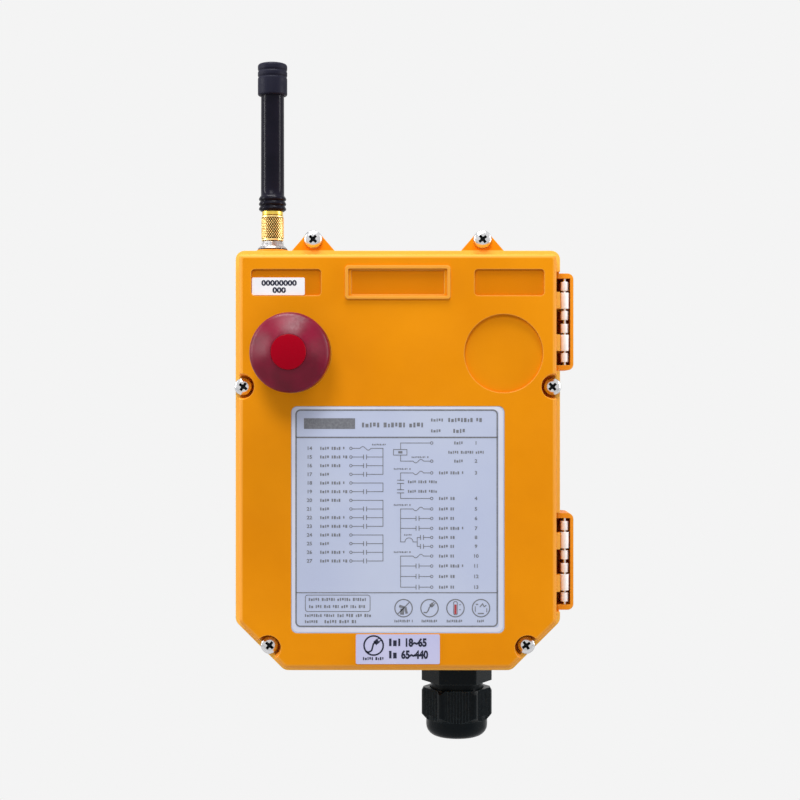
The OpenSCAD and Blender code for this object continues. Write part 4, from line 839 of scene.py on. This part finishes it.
def ring_points(x, z, r, start=0, end=360, steps=32):
    """Points along an arc, in millimetres."""
    return [(x + r * math.cos(math.radians(start + (end - start) * k / steps)),
             z + r * math.sin(math.radians(start + (end - start) * k / steps))) for k in range(steps + 1)]


def frame_line(x0, z0, x1, z1, width, r=0.0):
    """Closed line round a box, with rounded corners where a radius is given."""
    if not r:
        return [(x0, z0), (x1, z0), (x1, z1), (x0, z1)], width, True
    points = []
    for x, z, start in ((x1 - r, z1 - r, 0), (x0 + r, z1 - r, 90), (x0 + r, z0 + r, 180),
                        (x1 - r, z0 + r, 270)):
        points += ring_points(x, z, r, start, start + 90, 6)
    return points, width, True


board_green = finish("Board_green", (0.012, 0.11, 0.045), 0.32, gloss=0.35, sheen=((300, 4), 0.24, 0.40))
tree, shader = inside(board_green)
cells = tree.nodes.new("ShaderNodeTexVoronoi")
cells.distance = "CHEBYCHEV"
cells.inputs["Scale"].default_value = 420
where = tree.nodes.new("ShaderNodeTexCoord")
tree.links.new(where.outputs["Object"], cells.inputs["Vector"])
tint(tree, cells.outputs["Distance"], shader.inputs["Base Color"], (0.010, 0.115, 0.045),
     (0.008, 0.092, 0.037), 0.2, 0.6)
relief(tree, shader, cells.outputs["Distance"], 0.00004, 0.25)
fitted("main_board", "Main_board", board_green, "housing", "board_green")

track_green = finish("Track_green", (0.020, 0.20, 0.075), 0.28,
                     tones=((200, 3), (0.018, 0.17, 0.06), (0.03, 0.24, 0.09)),
                     grain=((900, 3), 0.00003, 0.3))
board_back, board_face = -0.014, -0.0156
relay_x, relay_low, relay_pitch = 36.5, -72.3, 17.6  # millimetres
relay_seats = [(side, side * relay_x / 1000, (relay_low + relay_pitch * k) / 1000)
               for side in (-1, 1) for k in range(6)]
strips, way_pitch = ((-1, 14), (1, 13)), 0.0075  # side and number of ways; metres
tracks = []
for k in range(12):
    side, row = (-1, 1)[k % 2], k // 2
    z = relay_low + relay_pitch * row
    for j, drop in enumerate((-5.2, 0.0, 5.2)):
        tracks.append(([(side * 48.5, z + drop), (side * 44.0, z + drop), (side * 42.0, z + drop * 0.8),
                        (side * 30.0, z + drop * 0.8)], 1.3, False))
for j in range(8):
    x = -21 + 6 * j
    tracks.append(line(0.5, (x, 28.0), (x, 20.0 - j), (x * 0.55, 12.0 - j), (x * 0.55, -38.0 - 2 * j)))
for j in range(6):
    tracks.append(line(0.5, (-30 + 3.1 * j, 58.0), (-30 + 3.1 * j, 36.0 - j), (-12 + 2 * j, 26.0 - j)))
track_thick = 0.00003
board_tracks = strokes("Board_tracks", tracks, board_face, track_green, track_thick)
place(board_tracks, "housing", "board_green")

print_white = finish("Print_white", (0.74, 0.74, 0.70), 0.6,
                     tones=((800, 4), (0.62, 0.62, 0.58), (0.78, 0.78, 0.74)),
                     grain=((2000, 2), 0.00002, 0.3))
outlines = [frame_line(sx * relay_x - 10.6, relay_low + relay_pitch * k - 8.4,
                       sx * relay_x + 10.6, relay_low + relay_pitch * k + 8.4, 0.25)
            for sx in (-1, 1) for k in range(6)]
outlines += [frame_line(-12.5, z - 4.2, 12.5, z + 4.2, 0.25, 1.2) for z in (-75, -64, -53, -42)]
outlines += [frame_line(-9.4, 0.6, 9.4, 19.4, 0.25), frame_line(-13, 36.5, 37, 79.5, 0.25, 1.0)]
outlines += [(ring_points(46.5, z, 7.0), 0.25, True) for z in (50, 66)]
outlines += [(ring_points(sx * 60, sz * 84, 3.9), 0.3, True) for sx in (-1, 1) for sz in (-1, 1)]
outlines += [line(0.5, (sx * 47.3, z - 3.5), (sx * 47.3, z + 3.5))
             for sx in (-1, 1) for z in range(-76, 17, 15)]
board_print = strokes("Board_print", outlines, board_face - track_thick, print_white, track_thick)
place(board_print, "housing", "label_white")

solder = finish("Solder", (0.60, 0.60, 0.58), 0.3, metal=1.0, sheen=((900, 3), 0.2, 0.42),
                grain=((700, 2), 0.00005, 0.3))
joint = turned("Joint_pattern", [(0, -0.00002), (0.0011, -0.00002), (0.0011, 0.0001), (0.0007, 0.0004),
                                 (0.0004, 0.0008), (0, 0.0009)], solder, up=(0, 1, 0), steps=20)
relay_pins = ((-0.007, 0), (0.007, -0.0052), (0.007, 0.0052), (-0.002, 0.005), (-0.002, -0.005))
joint_places = [(x + side * dx, board_back, z + dz) for side, x, z in relay_seats for dx, dz in relay_pins]
joint_places += [(sx * 0.0525, board_back, -0.076 + way_pitch * k)
                 for sx, ways in strips for k in range(ways)]
joints = spread("Solder_joints", joint, joint_places, solder)
place(joints, "housing", "clip_metal")

small_screw = turned("Board_screw_pattern", eased(
    [(0, -0.0055), (0.0014, -0.0050), (0.0015, 0), (0.0030, 0), (0.0030, 0.0008), (0.0024, 0.0018),
     (0.0012, 0.0021), (0, 0.0021)], 0.0003), zinc, up=(0, -1, 0), steps=40)
cut_out(small_screw, block("Slot_a", (-0.0014, -0.004, -0.0003), (0.0014, -0.0010, 0.0003)),
        block("Slot_b", (-0.0003, -0.0041, -0.0014), (0.0003, -0.0011, 0.0014)))
board_screws = spread("Board_screws", small_screw,
                      [(sx * 0.06, board_face, sz * 0.084, 0.4 * sx + 0.9 * sz, 1.0)
                       for sx in (-1, 1) for sz in (-1, 1)], zinc, axis=(0, 1, 0))
place(board_screws, "housing", "zinc_steel", "board_screws")

# Output relays: twelve sealed power relays in dark blue moulded cases, each with a thin sunk panel,
# a vent nib and a step round its foot.
relay_blue = finish("Relay_blue", (0.012, 0.035, 0.16), 0.36, gloss=0.35,
                    tones=((80, 4), (0.010, 0.028, 0.13), (0.016, 0.044, 0.19)),
                    grain=((2400, 2), 0.00003, 0.4), roll=0.0004)
relay = block("Relay_pattern", (-0.0100, -0.0160, -0.0077), (0.0100, -0.0012, 0.0077), relay_blue, 0.0007)
cut_out(relay, block("Panel", (-0.0084, -0.0170, -0.0061), (0.0084, -0.01575, 0.0061)))
foot = block("Relay_foot", (-0.0097, -0.0015, -0.0074), (0.0097, 0, 0.0074), relay_blue, 0.0003)
nib = turned("Relay_nib", [(0, 0.0150), (0.0011, 0.0150), (0.0011, 0.01595), (0.0008, 0.0160), (0, 0.0160)],
             relay_blue, base=(0.0064, 0, 0.0040), up=(0, -1, 0), steps=24)
work = bmesh.new()
for part in (relay, foot, nib):
    work.from_mesh(part.data)
work.to_mesh(relay.data)
work.free()
for part in (foot, nib):
    bpy.data.objects.remove(part)
relay.data.set_sharp_from_angle(angle=math.radians(32))
relays = spread("Output_relays", relay, [(x, board_face, z, math.pi * (side > 0), 1.0)
                                         for side, x, z in relay_seats], relay_blue, axis=(0, 1, 0))
place(relays, "housing", "relay_blue", "output_relays")

# Terminal strips: two rows of green screw clamps with a wire mouth and a screw well at each way; the
# clamp screws are slotted, zinc-plated steel.
terminal_green = finish("Terminal_green", (0.015, 0.20, 0.060), 0.42, gloss=0.3,
                        tones=((140, 4), (0.012, 0.16, 0.048), (0.020, 0.24, 0.075)),
                        grain=((2200, 2), 0.00003, 0.4), roll=0.0003)
for side in ("left", "right"):
    fitted("terminal_strip_" + side, "Terminal_strip_" + side, terminal_green, "housing", "terminal_green", 28)
way_screw = turned("Way_pattern", eased(
    [(0, -0.0011), (0.0014, -0.0011), (0.0014, 0), (0.00165, 0), (0.00165, 0.0009), (0.0013, 0.0011),
     (0, 0.0011)], 0.0002), zinc, up=(0, -1, 0), steps=32)
cut_out(way_screw, block("Way_slot", (-0.002, -0.002, -0.0003), (0.002, -0.0005, 0.0003)))
way_places = [(sx * 0.0537, -0.02626, -0.0767 + way_pitch * k, 0.7 * math.sin(5 * k + sx), 1.0)
              for sx, ways in strips for k in range(ways)]
way_screws = spread("Terminal_screws", way_screw, way_places, zinc, axis=(0, 1, 0))
place(way_screws, "housing", "terminal_steel", "terminal_screws")

# Fuses: four 5 x 20 mm glass tubes with nickel-plated end caps and a fine wire, each pushed into a
# pair of plated spring clips that are soldered to the board.
glass = finish("Fuse_glass", (0.9, 0.95, 0.95), 0.05, sheen=((500, 3), 0.02, 0.10))
tree, shader = inside(glass)
shader.inputs["Transmission Weight"].default_value = 1.0
shader.inputs["IOR"].default_value = 1.45
tube = turned("Tube_pattern", [(0.0018, -0.0062), (0.0023, -0.0062), (0.0023, 0.0062), (0.0018, 0.0062)],
              glass, up=(1, 0, 0), steps=48)
fuse_y, fuse_heights = -0.0211, (-0.075, -0.064, -0.053, -0.042)
tubes = spread("Fuse_tubes", tube, [(0, fuse_y, z) for z in fuse_heights], glass)
place(tubes, "housing", "fuse_glass", "fuses")
fuse_cap = turned("Cap_pattern", eased(
    [(0, -0.01), (0.0023, -0.01), (0.0025, -0.0097), (0.0025, -0.0047), (0.00235, -0.0045), (0.00235, -0.0060),
     (0.0006, -0.0060), (0, -0.0058)], 0.0002), nickel,
                  up=(1, 0, 0), steps=48)
caps = spread("Fuse_caps", fuse_cap, [(0, fuse_y, z, math.pi * end, 1.0)
                                      for z in fuse_heights for end in (0, 1)], nickel)
place(caps, "housing", "clip_metal")
element = swept("Element_pattern", [
    Vector((-0.0061 + 0.00122 * k, 0.0004 * math.sin(1.9 * k), 0.0003 * math.cos(k))) for k in range(11)],
                0.00012, wire_steel, 8)
elements = spread("Fuse_wires", element, [(0, fuse_y, z) for z in fuse_heights], wire_steel)
place(elements, "housing", "clip_metal")
fitted("fuse_clips", "Fuse_clips", nickel, "housing", "clip_metal", 30)

# Supply: an encapsulated blue mains transformer with a sunk top panel, and two sleeved electrolytic
# capacitors with bare scored aluminium tops and a pale stripe down the sleeve.
trafo_blue = finish("Trafo_blue", (0.010, 0.05, 0.20), 0.45, gloss=0.3,
                    tones=((60, 4), (0.008, 0.04, 0.16), (0.014, 0.06, 0.24)),
                    grain=((1500, 3), 0.00005, 0.4), roll=0.0006)
trafo = block("Power_transformer", (-0.010, -0.0452, 0.0395), (0.034, -0.0156, 0.0765), trafo_blue, 0.0011, 3)
cut_out(trafo, block("Trafo_panel", (-0.0075, -0.0470, 0.042), (0.0315, -0.0448, 0.074), None, 0.0002))
trafo.data.set_sharp_from_angle(angle=math.radians(32))
place(trafo, "housing", "trafo_blue", "power_transformer")
can_black = finish("Can_sleeve", (0.02, 0.02, 0.05), 0.34, sheen=((500, 3), 0.26, 0.42),
                   grain=((900, 3), 0.00003, 0.3))
marked(can_black, "stripe", (0.018, 0.018, 0.045), (0.50, 0.50, 0.55), 0.4, 0.6)
can = turned("Can_pattern", eased(
    [(0, 0), (0.0056, 0), (0.00625, 0.0008), (0.0060, 0.0022), (0.00625, 0.0034), (0.00625, 0.0195),
     (0.0058, 0.0200), (0.0050, 0.0200), (0.0050, 0.0198), (0, 0.0198)], 0.0004), can_black,
             up=(0, -1, 0), steps=72)
can.data.attributes.new("stripe", "FLOAT", "FACE").data.foreach_set("value", [
    float(f.center.x > 0.0050 and -0.0185 < f.center.y < -0.004) for f in can.data.polygons])
can_places = [(0.0465, board_face, 0.050, 0.6, 1.0), (0.0465, board_face, 0.066, -0.5, 1.0)]
cans = spread("Capacitor_cans", can, can_places, can_black, axis=(0, 1, 0))
place(cans, "housing", "can_sleeve", "capacitors")
can_top = turned("Top_pattern", eased(
    [(0, 0.01981), (0.0048, 0.01981), (0.0048, 0.0200), (0, 0.0200)], 0.0001), nickel,
                 up=(0, -1, 0), steps=48)
cut_out(can_top, block("Score_a", (-0.0035, -0.021, -0.00015), (0.0035, -0.01992, 0.00015)),
        block("Score_b", (-0.00015, -0.0211, -0.0035), (0.00015, -0.01991, 0.0035)))
can_tops = spread("Capacitor_tops", can_top, can_places, nickel, axis=(0, 1, 0))
place(can_tops, "housing", "clip_metal")

# Radio and logic: a small green radio board on a black header under a tinned shield can with a rolled
# edge, a black processor with gull-wing leads, and five red indicator lamps.
chip_black = finish("Chip_black", (0.016, 0.016, 0.018), 0.5, gloss=0.3,
                    tones=((300, 4), (0.012, 0.012, 0.014), (0.024, 0.024, 0.026)),
                    grain=((2600, 2), 0.00003, 0.5), roll=0.0002)
fitted("radio_board", "Radio_board", board_green, "housing", "board_green")
fitted("radio_header", "Radio_header", chip_black, "housing", "chip_black", 28)
tin = finish("Tinned_steel", (0.52, 0.52, 0.50), 0.34, metal=1.0,
             tones=((90, 4), (0.44, 0.44, 0.42), (0.58, 0.58, 0.57)), sheen=((200, 5), 0.22, 0.46),
             grain=((300, 3), 0.00005, 0.25))
shield = block("Radio_shield", (-0.038, -0.0268, 0.063), (-0.014, -0.0228, 0.081), tin, 0.0005)
holes = [turned("Shield_hole", [(0, 0.0264), (0.00055, 0.0264), (0.00055, 0.0275), (0, 0.0275)], None,
                base=(-0.0345 + 0.0034 * i, 0, 0.0672 + 0.0048 * j), up=(0, -1, 0), steps=16)
         for i in range(6) for j in range(3)]
cut_out(shield, *holes)
shield.data.set_sharp_from_angle(angle=math.radians(32))
place(shield, "housing", "shield_metal", "radio_shield")
chip = block("Processor", (-0.0070, -0.0172, 0.0030), (0.0070, -0.0157, 0.0170), chip_black, 0.0002)
cut_out(chip, turned("Chip_dimple", [(0, 0.01708), (0.0007, 0.01708), (0.0007, 0.0180), (0, 0.0180)], None,
                     base=(-0.0055, 0, 0.0155), up=(0, -1, 0), steps=24))
chip.data.set_sharp_from_angle(angle=math.radians(32))
place(chip, "housing", "chip_black", "processor")
bend = ((0.0066, -0.0007, 0), (0.0073, -0.0007, 0), (0.0076, -0.0005, 0), (0.0078, -0.0002, 0),
        (0.0081, -0.00015, 0), (0.0088, -0.00015, 0))
lead = swept("Lead_pattern", [Vector(p) for p in bend], 0.00013, tin, 6)
chip_z, lead_pitch = 0.010, 0.0008
lead_places = [(lead_pitch * k * math.sin(side), board_face, chip_z + lead_pitch * k * math.cos(side),
                side, 1.0) for side in (0, math.pi / 2, math.pi, 3 * math.pi / 2) for k in range(-7, 8)]
leads = spread("Processor_leads", lead, lead_places, tin, axis=(0, 1, 0))
place(leads, "housing", "clip_metal")
led_red = finish("Led_red", (0.55, 0.010, 0.008), 0.12, sheen=((700, 3), 0.06, 0.2))
tree, shader = inside(led_red)
shader.inputs["Transmission Weight"].default_value = 0.35
dome = [(0.0014 * math.cos(math.radians(15 * k)), 0.0036 + 0.0014 * math.sin(math.radians(15 * k)))
        for k in range(6)]
led = turned("Led_pattern", [(0, 0.0001), (0.0015, 0.0001), (0.0015, 0.0010), (0.0014, 0.0012)] + dome
             + [(0, 0.0050)], led_red, up=(0, -1, 0), steps=32)
leds = spread("Status_leds", led, [(x / 1000, board_face, 0.032) for x in (-14, -7, 0, 7, 14)], led_red)
place(leds, "housing", "led_red", "status_leds")

# Labels: three polyester films with rounded corners, stuck on the cover and printed; the large one
# shows a plain wiring diagram with way numbers, contact and fuse signs and rows of small bars.
film_silver = finish("Film_silver", (0.50, 0.53, 0.66), 0.42, gloss=0.3,
                     tones=((18, 3), (0.476, 0.524, 0.695), (0.530, 0.575, 0.715)),
                     sheen=((220, 4), 0.36, 0.52), grain=((900, 3), 0.00003, 0.3))
fitted("wiring_label", "Wiring_label", film_silver, "cover", "label_silver")


def bars(x0, x1, z, high, scale=1.0, breaks=(5, 3, 6)):
    """Row of small bars of mixed width and height; breaks are the counts between its wider gaps."""
    out, x, k, left = [], x0, 0, breaks[0]
    while x < x1 - 0.4 * scale:
        wide = min((0.55, 0.8, 0.45, 0.7)[k % 4] * scale, x1 - x)
        drop = (0.0, -0.12, 0.0, 0.1, 0.0)[k % 5] * high  # keeps the tops of the bars uneven
        out.append(([(x, z + drop), (x + wide, z + drop)], high - 2 * abs(drop), False))
        left -= 1
        x, k = x + wide + 0.38 * scale, k + 1
        if not left:
            x, left = x + 0.8 * scale, breaks[k % len(breaks)]
    return out


def wave(x0, x1, z, high=0.9):
    """Fuse sign: one full wave between two points."""
    return [(x0 + (x1 - x0) * k / 16, z + high * math.sin(math.tau * k / 16)) for k in range(17)]


def contact_sign(x, z, half=1.2):
    """Two plates of an open contact."""
    return [line(0.4, (x - 0.75, z - half), (x - 0.75, z + half)),
            line(0.4, (x + 0.75, z - half), (x + 0.75, z + half))]


def number(name, lines, at, made, high, heavy, wide, thick=0.00004):
    """Plain digits as thin raised print: (text, x, z) with the left foot of each in millimetres."""
    meshes = []
    for text, x, z in lines:
        curve = bpy.data.curves.new(name, "FONT")
        curve.body, curve.size, curve.extrude = text, high / 1000 / 0.73, thick / 2
        curve.resolution_u, curve.offset = 3, heavy * curve.size
        made_up = bpy.data.objects.new(name, curve)
        bpy.context.collection.objects.link(made_up)
        bpy.context.view_layer.update()
        mesh = bpy.data.meshes.new_from_object(made_up.evaluated_get(bpy.context.evaluated_depsgraph_get()))
        mesh.transform(Matrix.Translation((x / 1000, at - thick / 2, z / 1000))
                       @ Matrix.Rotation(math.radians(90), 4, "X") @ Matrix.Diagonal((wide, 1, 1, 1)))
        meshes.append(mesh)
        bpy.data.objects.remove(made_up)
    joined = bmesh.new()
    for mesh in meshes:
        joined.from_mesh(mesh)
    whole = bpy.data.meshes.new(name)
    joined.to_mesh(whole)
    joined.free()
    return piece(name, whole, made)


ink_grey = finish("Ink_grey", (0.15, 0.15, 0.17), 0.55, gloss=0.25,
                  tones=((900, 3), (0.14, 0.145, 0.165), (0.21, 0.215, 0.235)),
                  grain=((2600, 2), 0.00002, 0.3))
thin, bold, label_face = 0.35, 0.75, -0.0779
art = [frame_line(-51.4, -83.3, 50.2, 25.9, bold, 2.2), line(bold, (-51.4, 12.1), (50.2, 12.1)),
       line(0.5, (-51.4, -66.3), (50.2, -66.3)), line(5.4, (-47.4, 19.1), (-21.6, 19.1))]
art += bars(-18.1, 13.2, 18.4, 2.4, 1.9) + bars(16.8, 23.0, 20.9, 1.5, 1.3)
art += bars(25.5, 43.0, 20.9, 2.0, 1.6, (8,)) + bars(16.8, 22.0, 15.4, 1.5, 1.3)
art += bars(28.0, 34.5, 15.4, 2.0, 1.6)
left_rows = [6.6 - 4.375 * k for k in range(14)]
for k, z in enumerate(left_rows):
    art += bars(-39.2, (-26.2, -25.4, -29.0, -33.0)[k % 4], z, 1.5, 1.2, (4, 2))
    art += [(ring_points(-23.7, z, 0.65, steps=12)[:-1], thin, True)]
    if k == 0:
        art += [([(-23.0, z), (-19.1, z)] + wave(-19.1, -13.5, z)[1:] + [(-7.5, z)], thin, False)]
        art += bars(-13.0, -5.0, z + 1.9, 0.8, 0.8, (9,))
    elif k in (4, 6, 10):
        art += [line(thin, (-23.0, z), (-7.5, z))]
    else:
        art += [line(thin, (-23.0, z), (-17.3, z)), line(thin, (-15.8, z), (-7.5, z))]
        art += contact_sign(-16.55, z)
for first, last in ((0, 3), (4, 5), (6, 9), (10, 13)):
    art += [line(thin, (-7.5, left_rows[first] + 0.17), (-7.5, left_rows[last] - 0.17))]
right_rows = {1: 9.3, 2: 0.15, 3: -5.8, 4: -18.7, 5: -24.0, 6: -28.8, 7: -33.8, 8: -38.4, 9: -42.9, 10: -47.8,
              11: -52.8, 12: -58.1, 13: -63.5}
for k, z in right_rows.items():
    start = 28.5 if k < 3 else 20.8
    art += bars(start, start + (4.2 if k < 3 else (8.5, 7.5, 7.5, 12.6)[k % 4]), z, 1.5, 1.2, (4, 2))
    art += [(ring_points(17.1, z, 0.65, steps=12)[:-1], thin, True)]
    if k in (2, 3, 5, 10):
        art += [([(16.4, z), (13.0, z)] + wave(13.0, 7.7, z)[1:] + [(1.4, z)], thin, False)]
        art += bars(-2.0 + 9.0 * (k == 2), 6.5 + 9.0 * (k == 2), z + 2.0, 0.8, 0.8, (9,))
    elif k in (1, 4):
        art += [line(thin, (16.4, z), (1.4, z))]
    elif k in (8, 9):
        art += [line(thin, (16.4, z), (12.9, z)), line(thin, (11.5, z), (9.8, z), (9.8, -40.65))]
        art += contact_sign(12.2, z)
    else:
        art += [line(thin, (16.4, z), (10.7, z)), line(thin, (9.2, z), (1.4, z))] + contact_sign(9.95, z)
art += bars(25.5, 43.5, 4.6, 1.4, 1.1, (5, 6)) + bars(5.1, 19.8, -10.3, 1.4, 1.1, (4, 5))
art += bars(5.1, 19.8, -15.1, 1.4, 1.1, (4, 5)) + bars(3.2, 7.0, -37.1, 0.8, 0.8, (9,))
art += [line(thin, (9.8, -40.65), (7.7, -40.65), *ring_points(5.65, -40.65, 2.05, 0, 180, 12)[1:],
             (1.4, -40.65)),
        frame_line(-2.2, 3.2, 4.6, 6.0, thin), line(1.2, (0.2, 4.6), (2.3, 4.6))]
for low, high in ((6.0, 9.3), (0.15, 3.2), (-9.5, -5.8), (-14.3, -11.1), (-18.7, -15.9), (-40.65, -24.0),
                  (-63.5, -47.8)):
    art += [line(thin, (1.4, low - 0.17), (1.4, high + 0.17))]
art += [line(0.4, (-0.4, z), (3.2, z)) for z in (-9.5, -11.1, -14.3, -15.9)]
art += [frame_line(-46.7, -75.8, -14.0, -67.5, thin, 1.2)] + bars(-45.0, -15.6, -69.7, 1.5, 1.15) \
    + bars(-44.8, -16.0, -73.3, 1.5, 1.15, (2, 6, 3))
art += bars(-46.9, -32.0, -77.8, 1.4, 1.1, (8,)) + bars(-30.5, -12.6, -77.8, 1.6, 1.2, (3, 3, 4))
art += bars(-46.9, -40.5, -80.9, 1.4, 1.1, (9,)) + bars(-37.0, -20.5, -80.9, 1.6, 1.3, (5, 4))
for k, x in enumerate((2.9, 16.0, 29.1, 42.0)):
    art += [(ring_points(x, -74.1, 4.4)[:-1], 0.55, True)]
    art += bars(x - (4.6, 4.0, 4.4, 1.9)[k], x + (4.6, 4.0, 4.4, 1.9)[k], -80.6, 1.3, 0.9, (9,))
    art += ([line(0.5, (x - 2.9, -77.0), (x + 2.9, -71.2)), line(2.0, (x - 0.8, -77.4), (x - 0.6, -74.4)),
             line(1.2, (x + 1.6, -76.9), (x + 0.9, -73.6)), line(1.3, (x - 2.2, -73.0), (x + 0.4, -73.8))],
            [line(0.6, (x - 3.0, -76.2), (x - 1.6, -76.4), (x - 0.7, -75.4), (x - 0.2, -73.9),
                  (x + 0.8, -72.8)),
             line(1.9, (x + 0.5, -73.2), (x + 1.9, -71.9)), line(0.4, (x + 1.6, -71.6), (x + 2.3, -70.9)),
             line(0.4, (x + 2.3, -72.2), (x + 3.0, -71.6))],
            [frame_line(x - 0.9, -77.4, x + 0.9, -70.8, 0.4, 0.6),
             line(0.35, (x + 1.8, -72.4), (x + 2.8, -72.4)),
             line(0.35, (x + 1.8, -74.9), (x + 2.8, -74.9))],
            [line(0.6, (x - 2.6, -72.2), (x - 1.4, -72.2)), line(0.4, (x - 2.9, -76.0), (x - 2.9, -73.2)),
             line(0.5, (x - 0.6, -73.6), (x + 0.8, -71.9), (x + 1.6, -73.4), (x + 2.7, -72.6)),
             line(0.6, (x - 1.6, -76.8), (x + 1.4, -76.8)), line(0.4, (x + 2.9, -76.2), (x + 2.9, -74.2))])[k]
margin_white = finish("Margin_white", (0.62, 0.64, 0.74), 0.45, gloss=0.3,
                      tones=((60, 3), (0.64, 0.65, 0.76), (0.71, 0.71, 0.80)),
                      grain=((900, 3), 0.00003, 0.3))
margin = strokes("Wiring_margin", [frame_line(-52.45, -85.0, 52.0, 26.65, 2.2, 2.2)], label_face,
                 margin_white, 0.00002)
place(margin, "cover", "label_silver")
wiring_print = strokes("Wiring_print", art, label_face, ink_grey)
place(wiring_print, "cover", "grey_plastic")
digits = [("%d" % (14 + k), -46.0, z - 0.8) for k, z in enumerate(left_rows)]
digits += [("%d" % k, 38.1 + 0.7 * (k < 10), z - 0.8) for k, z in right_rows.items()]
way_numbers = number("Way_numbers", digits, label_face, ink_grey, 1.8, 0.025, 1.1)
place(way_numbers, "cover", "grey_plastic")
ink_red = finish("Ink_red", (0.40, 0.03, 0.03), 0.55,
                 tones=((900, 3), (0.34, 0.025, 0.03), (0.45, 0.05, 0.05)), grain=((2600, 2), 0.00002, 0.3))
gauge = strokes("Gauge_print", [line(1.1, (29.1, -77.1), (29.1, -72.3))], label_face, ink_red)
place(gauge, "cover", "disc_red")

film_lavender = finish("Film_lavender", (0.62, 0.58, 0.78), 0.4, gloss=0.3,
                       tones=((30, 3), (0.52, 0.52, 0.76), (0.60, 0.59, 0.79)), sheen=((300, 4), 0.34, 0.5),
                       grain=((900, 3), 0.00003, 0.3))
fitted("voltage_label", "Voltage_label", film_lavender, "cover", "label_lavender")
ink_dark = finish("Ink_dark", (0.012, 0.014, 0.035), 0.5, gloss=0.25,
                  tones=((900, 3), (0.010, 0.012, 0.030), (0.020, 0.022, 0.045)),
                  grain=((2600, 2), 0.00002, 0.3))
voltage_face, serial_face = -0.0783, -0.0773
mark = [(ring_points(-12.2, -92.9, 4.85)[:-1], 0.8, True),
        line(0.8, (-16.2, -95.9), (-14.6, -96.3), (-13.2, -95.4), (-12.7, -93.6), (-12.3, -92.0),
             (-11.0, -91.4)),
        line(2.3, (-11.6, -91.9), (-9.9, -90.4)), line(0.5, (-10.4, -89.9), (-9.5, -89.1)),
        line(0.5, (-9.4, -90.9), (-8.5, -90.2))]
mark += bars(-17.6, -6.5, -99.5, 1.5, 1.1, (5, 6)) + bars(-4.4, 2.2, -91.3, 3.8, 2.2, (9,))
mark += bars(-4.4, 0.6, -97.5, 3.8, 2.2, (9,))
voltage_print = strokes("Voltage_print", mark, voltage_face, ink_dark)
place(voltage_print, "cover", "black_plastic")
voltage_numbers = number("Voltage_numbers", [("18~65", 3.3, -93.3), ("65~440", 1.7, -99.4)], voltage_face,
                         ink_dark, 4.0, 0.05, 0.80)
place(voltage_numbers, "cover", "black_plastic")

film_white = finish("Film_white", (0.84, 0.82, 0.86), 0.45, gloss=0.3,
                    tones=((60, 3), (0.90, 0.89, 0.92), (0.94, 0.93, 0.96)), grain=((900, 3), 0.00003, 0.3))
fitted("serial_label", "Serial_label", film_white, "cover", "label_white")
serial_numbers = number("Serial_numbers", [("00000000", -68.9, 88.9), ("000", -63.3, 85.3)], serial_face,
                        ink_dark, 2.7, 0.045, 1.2)
place(serial_numbers, "cover", "black_plastic")
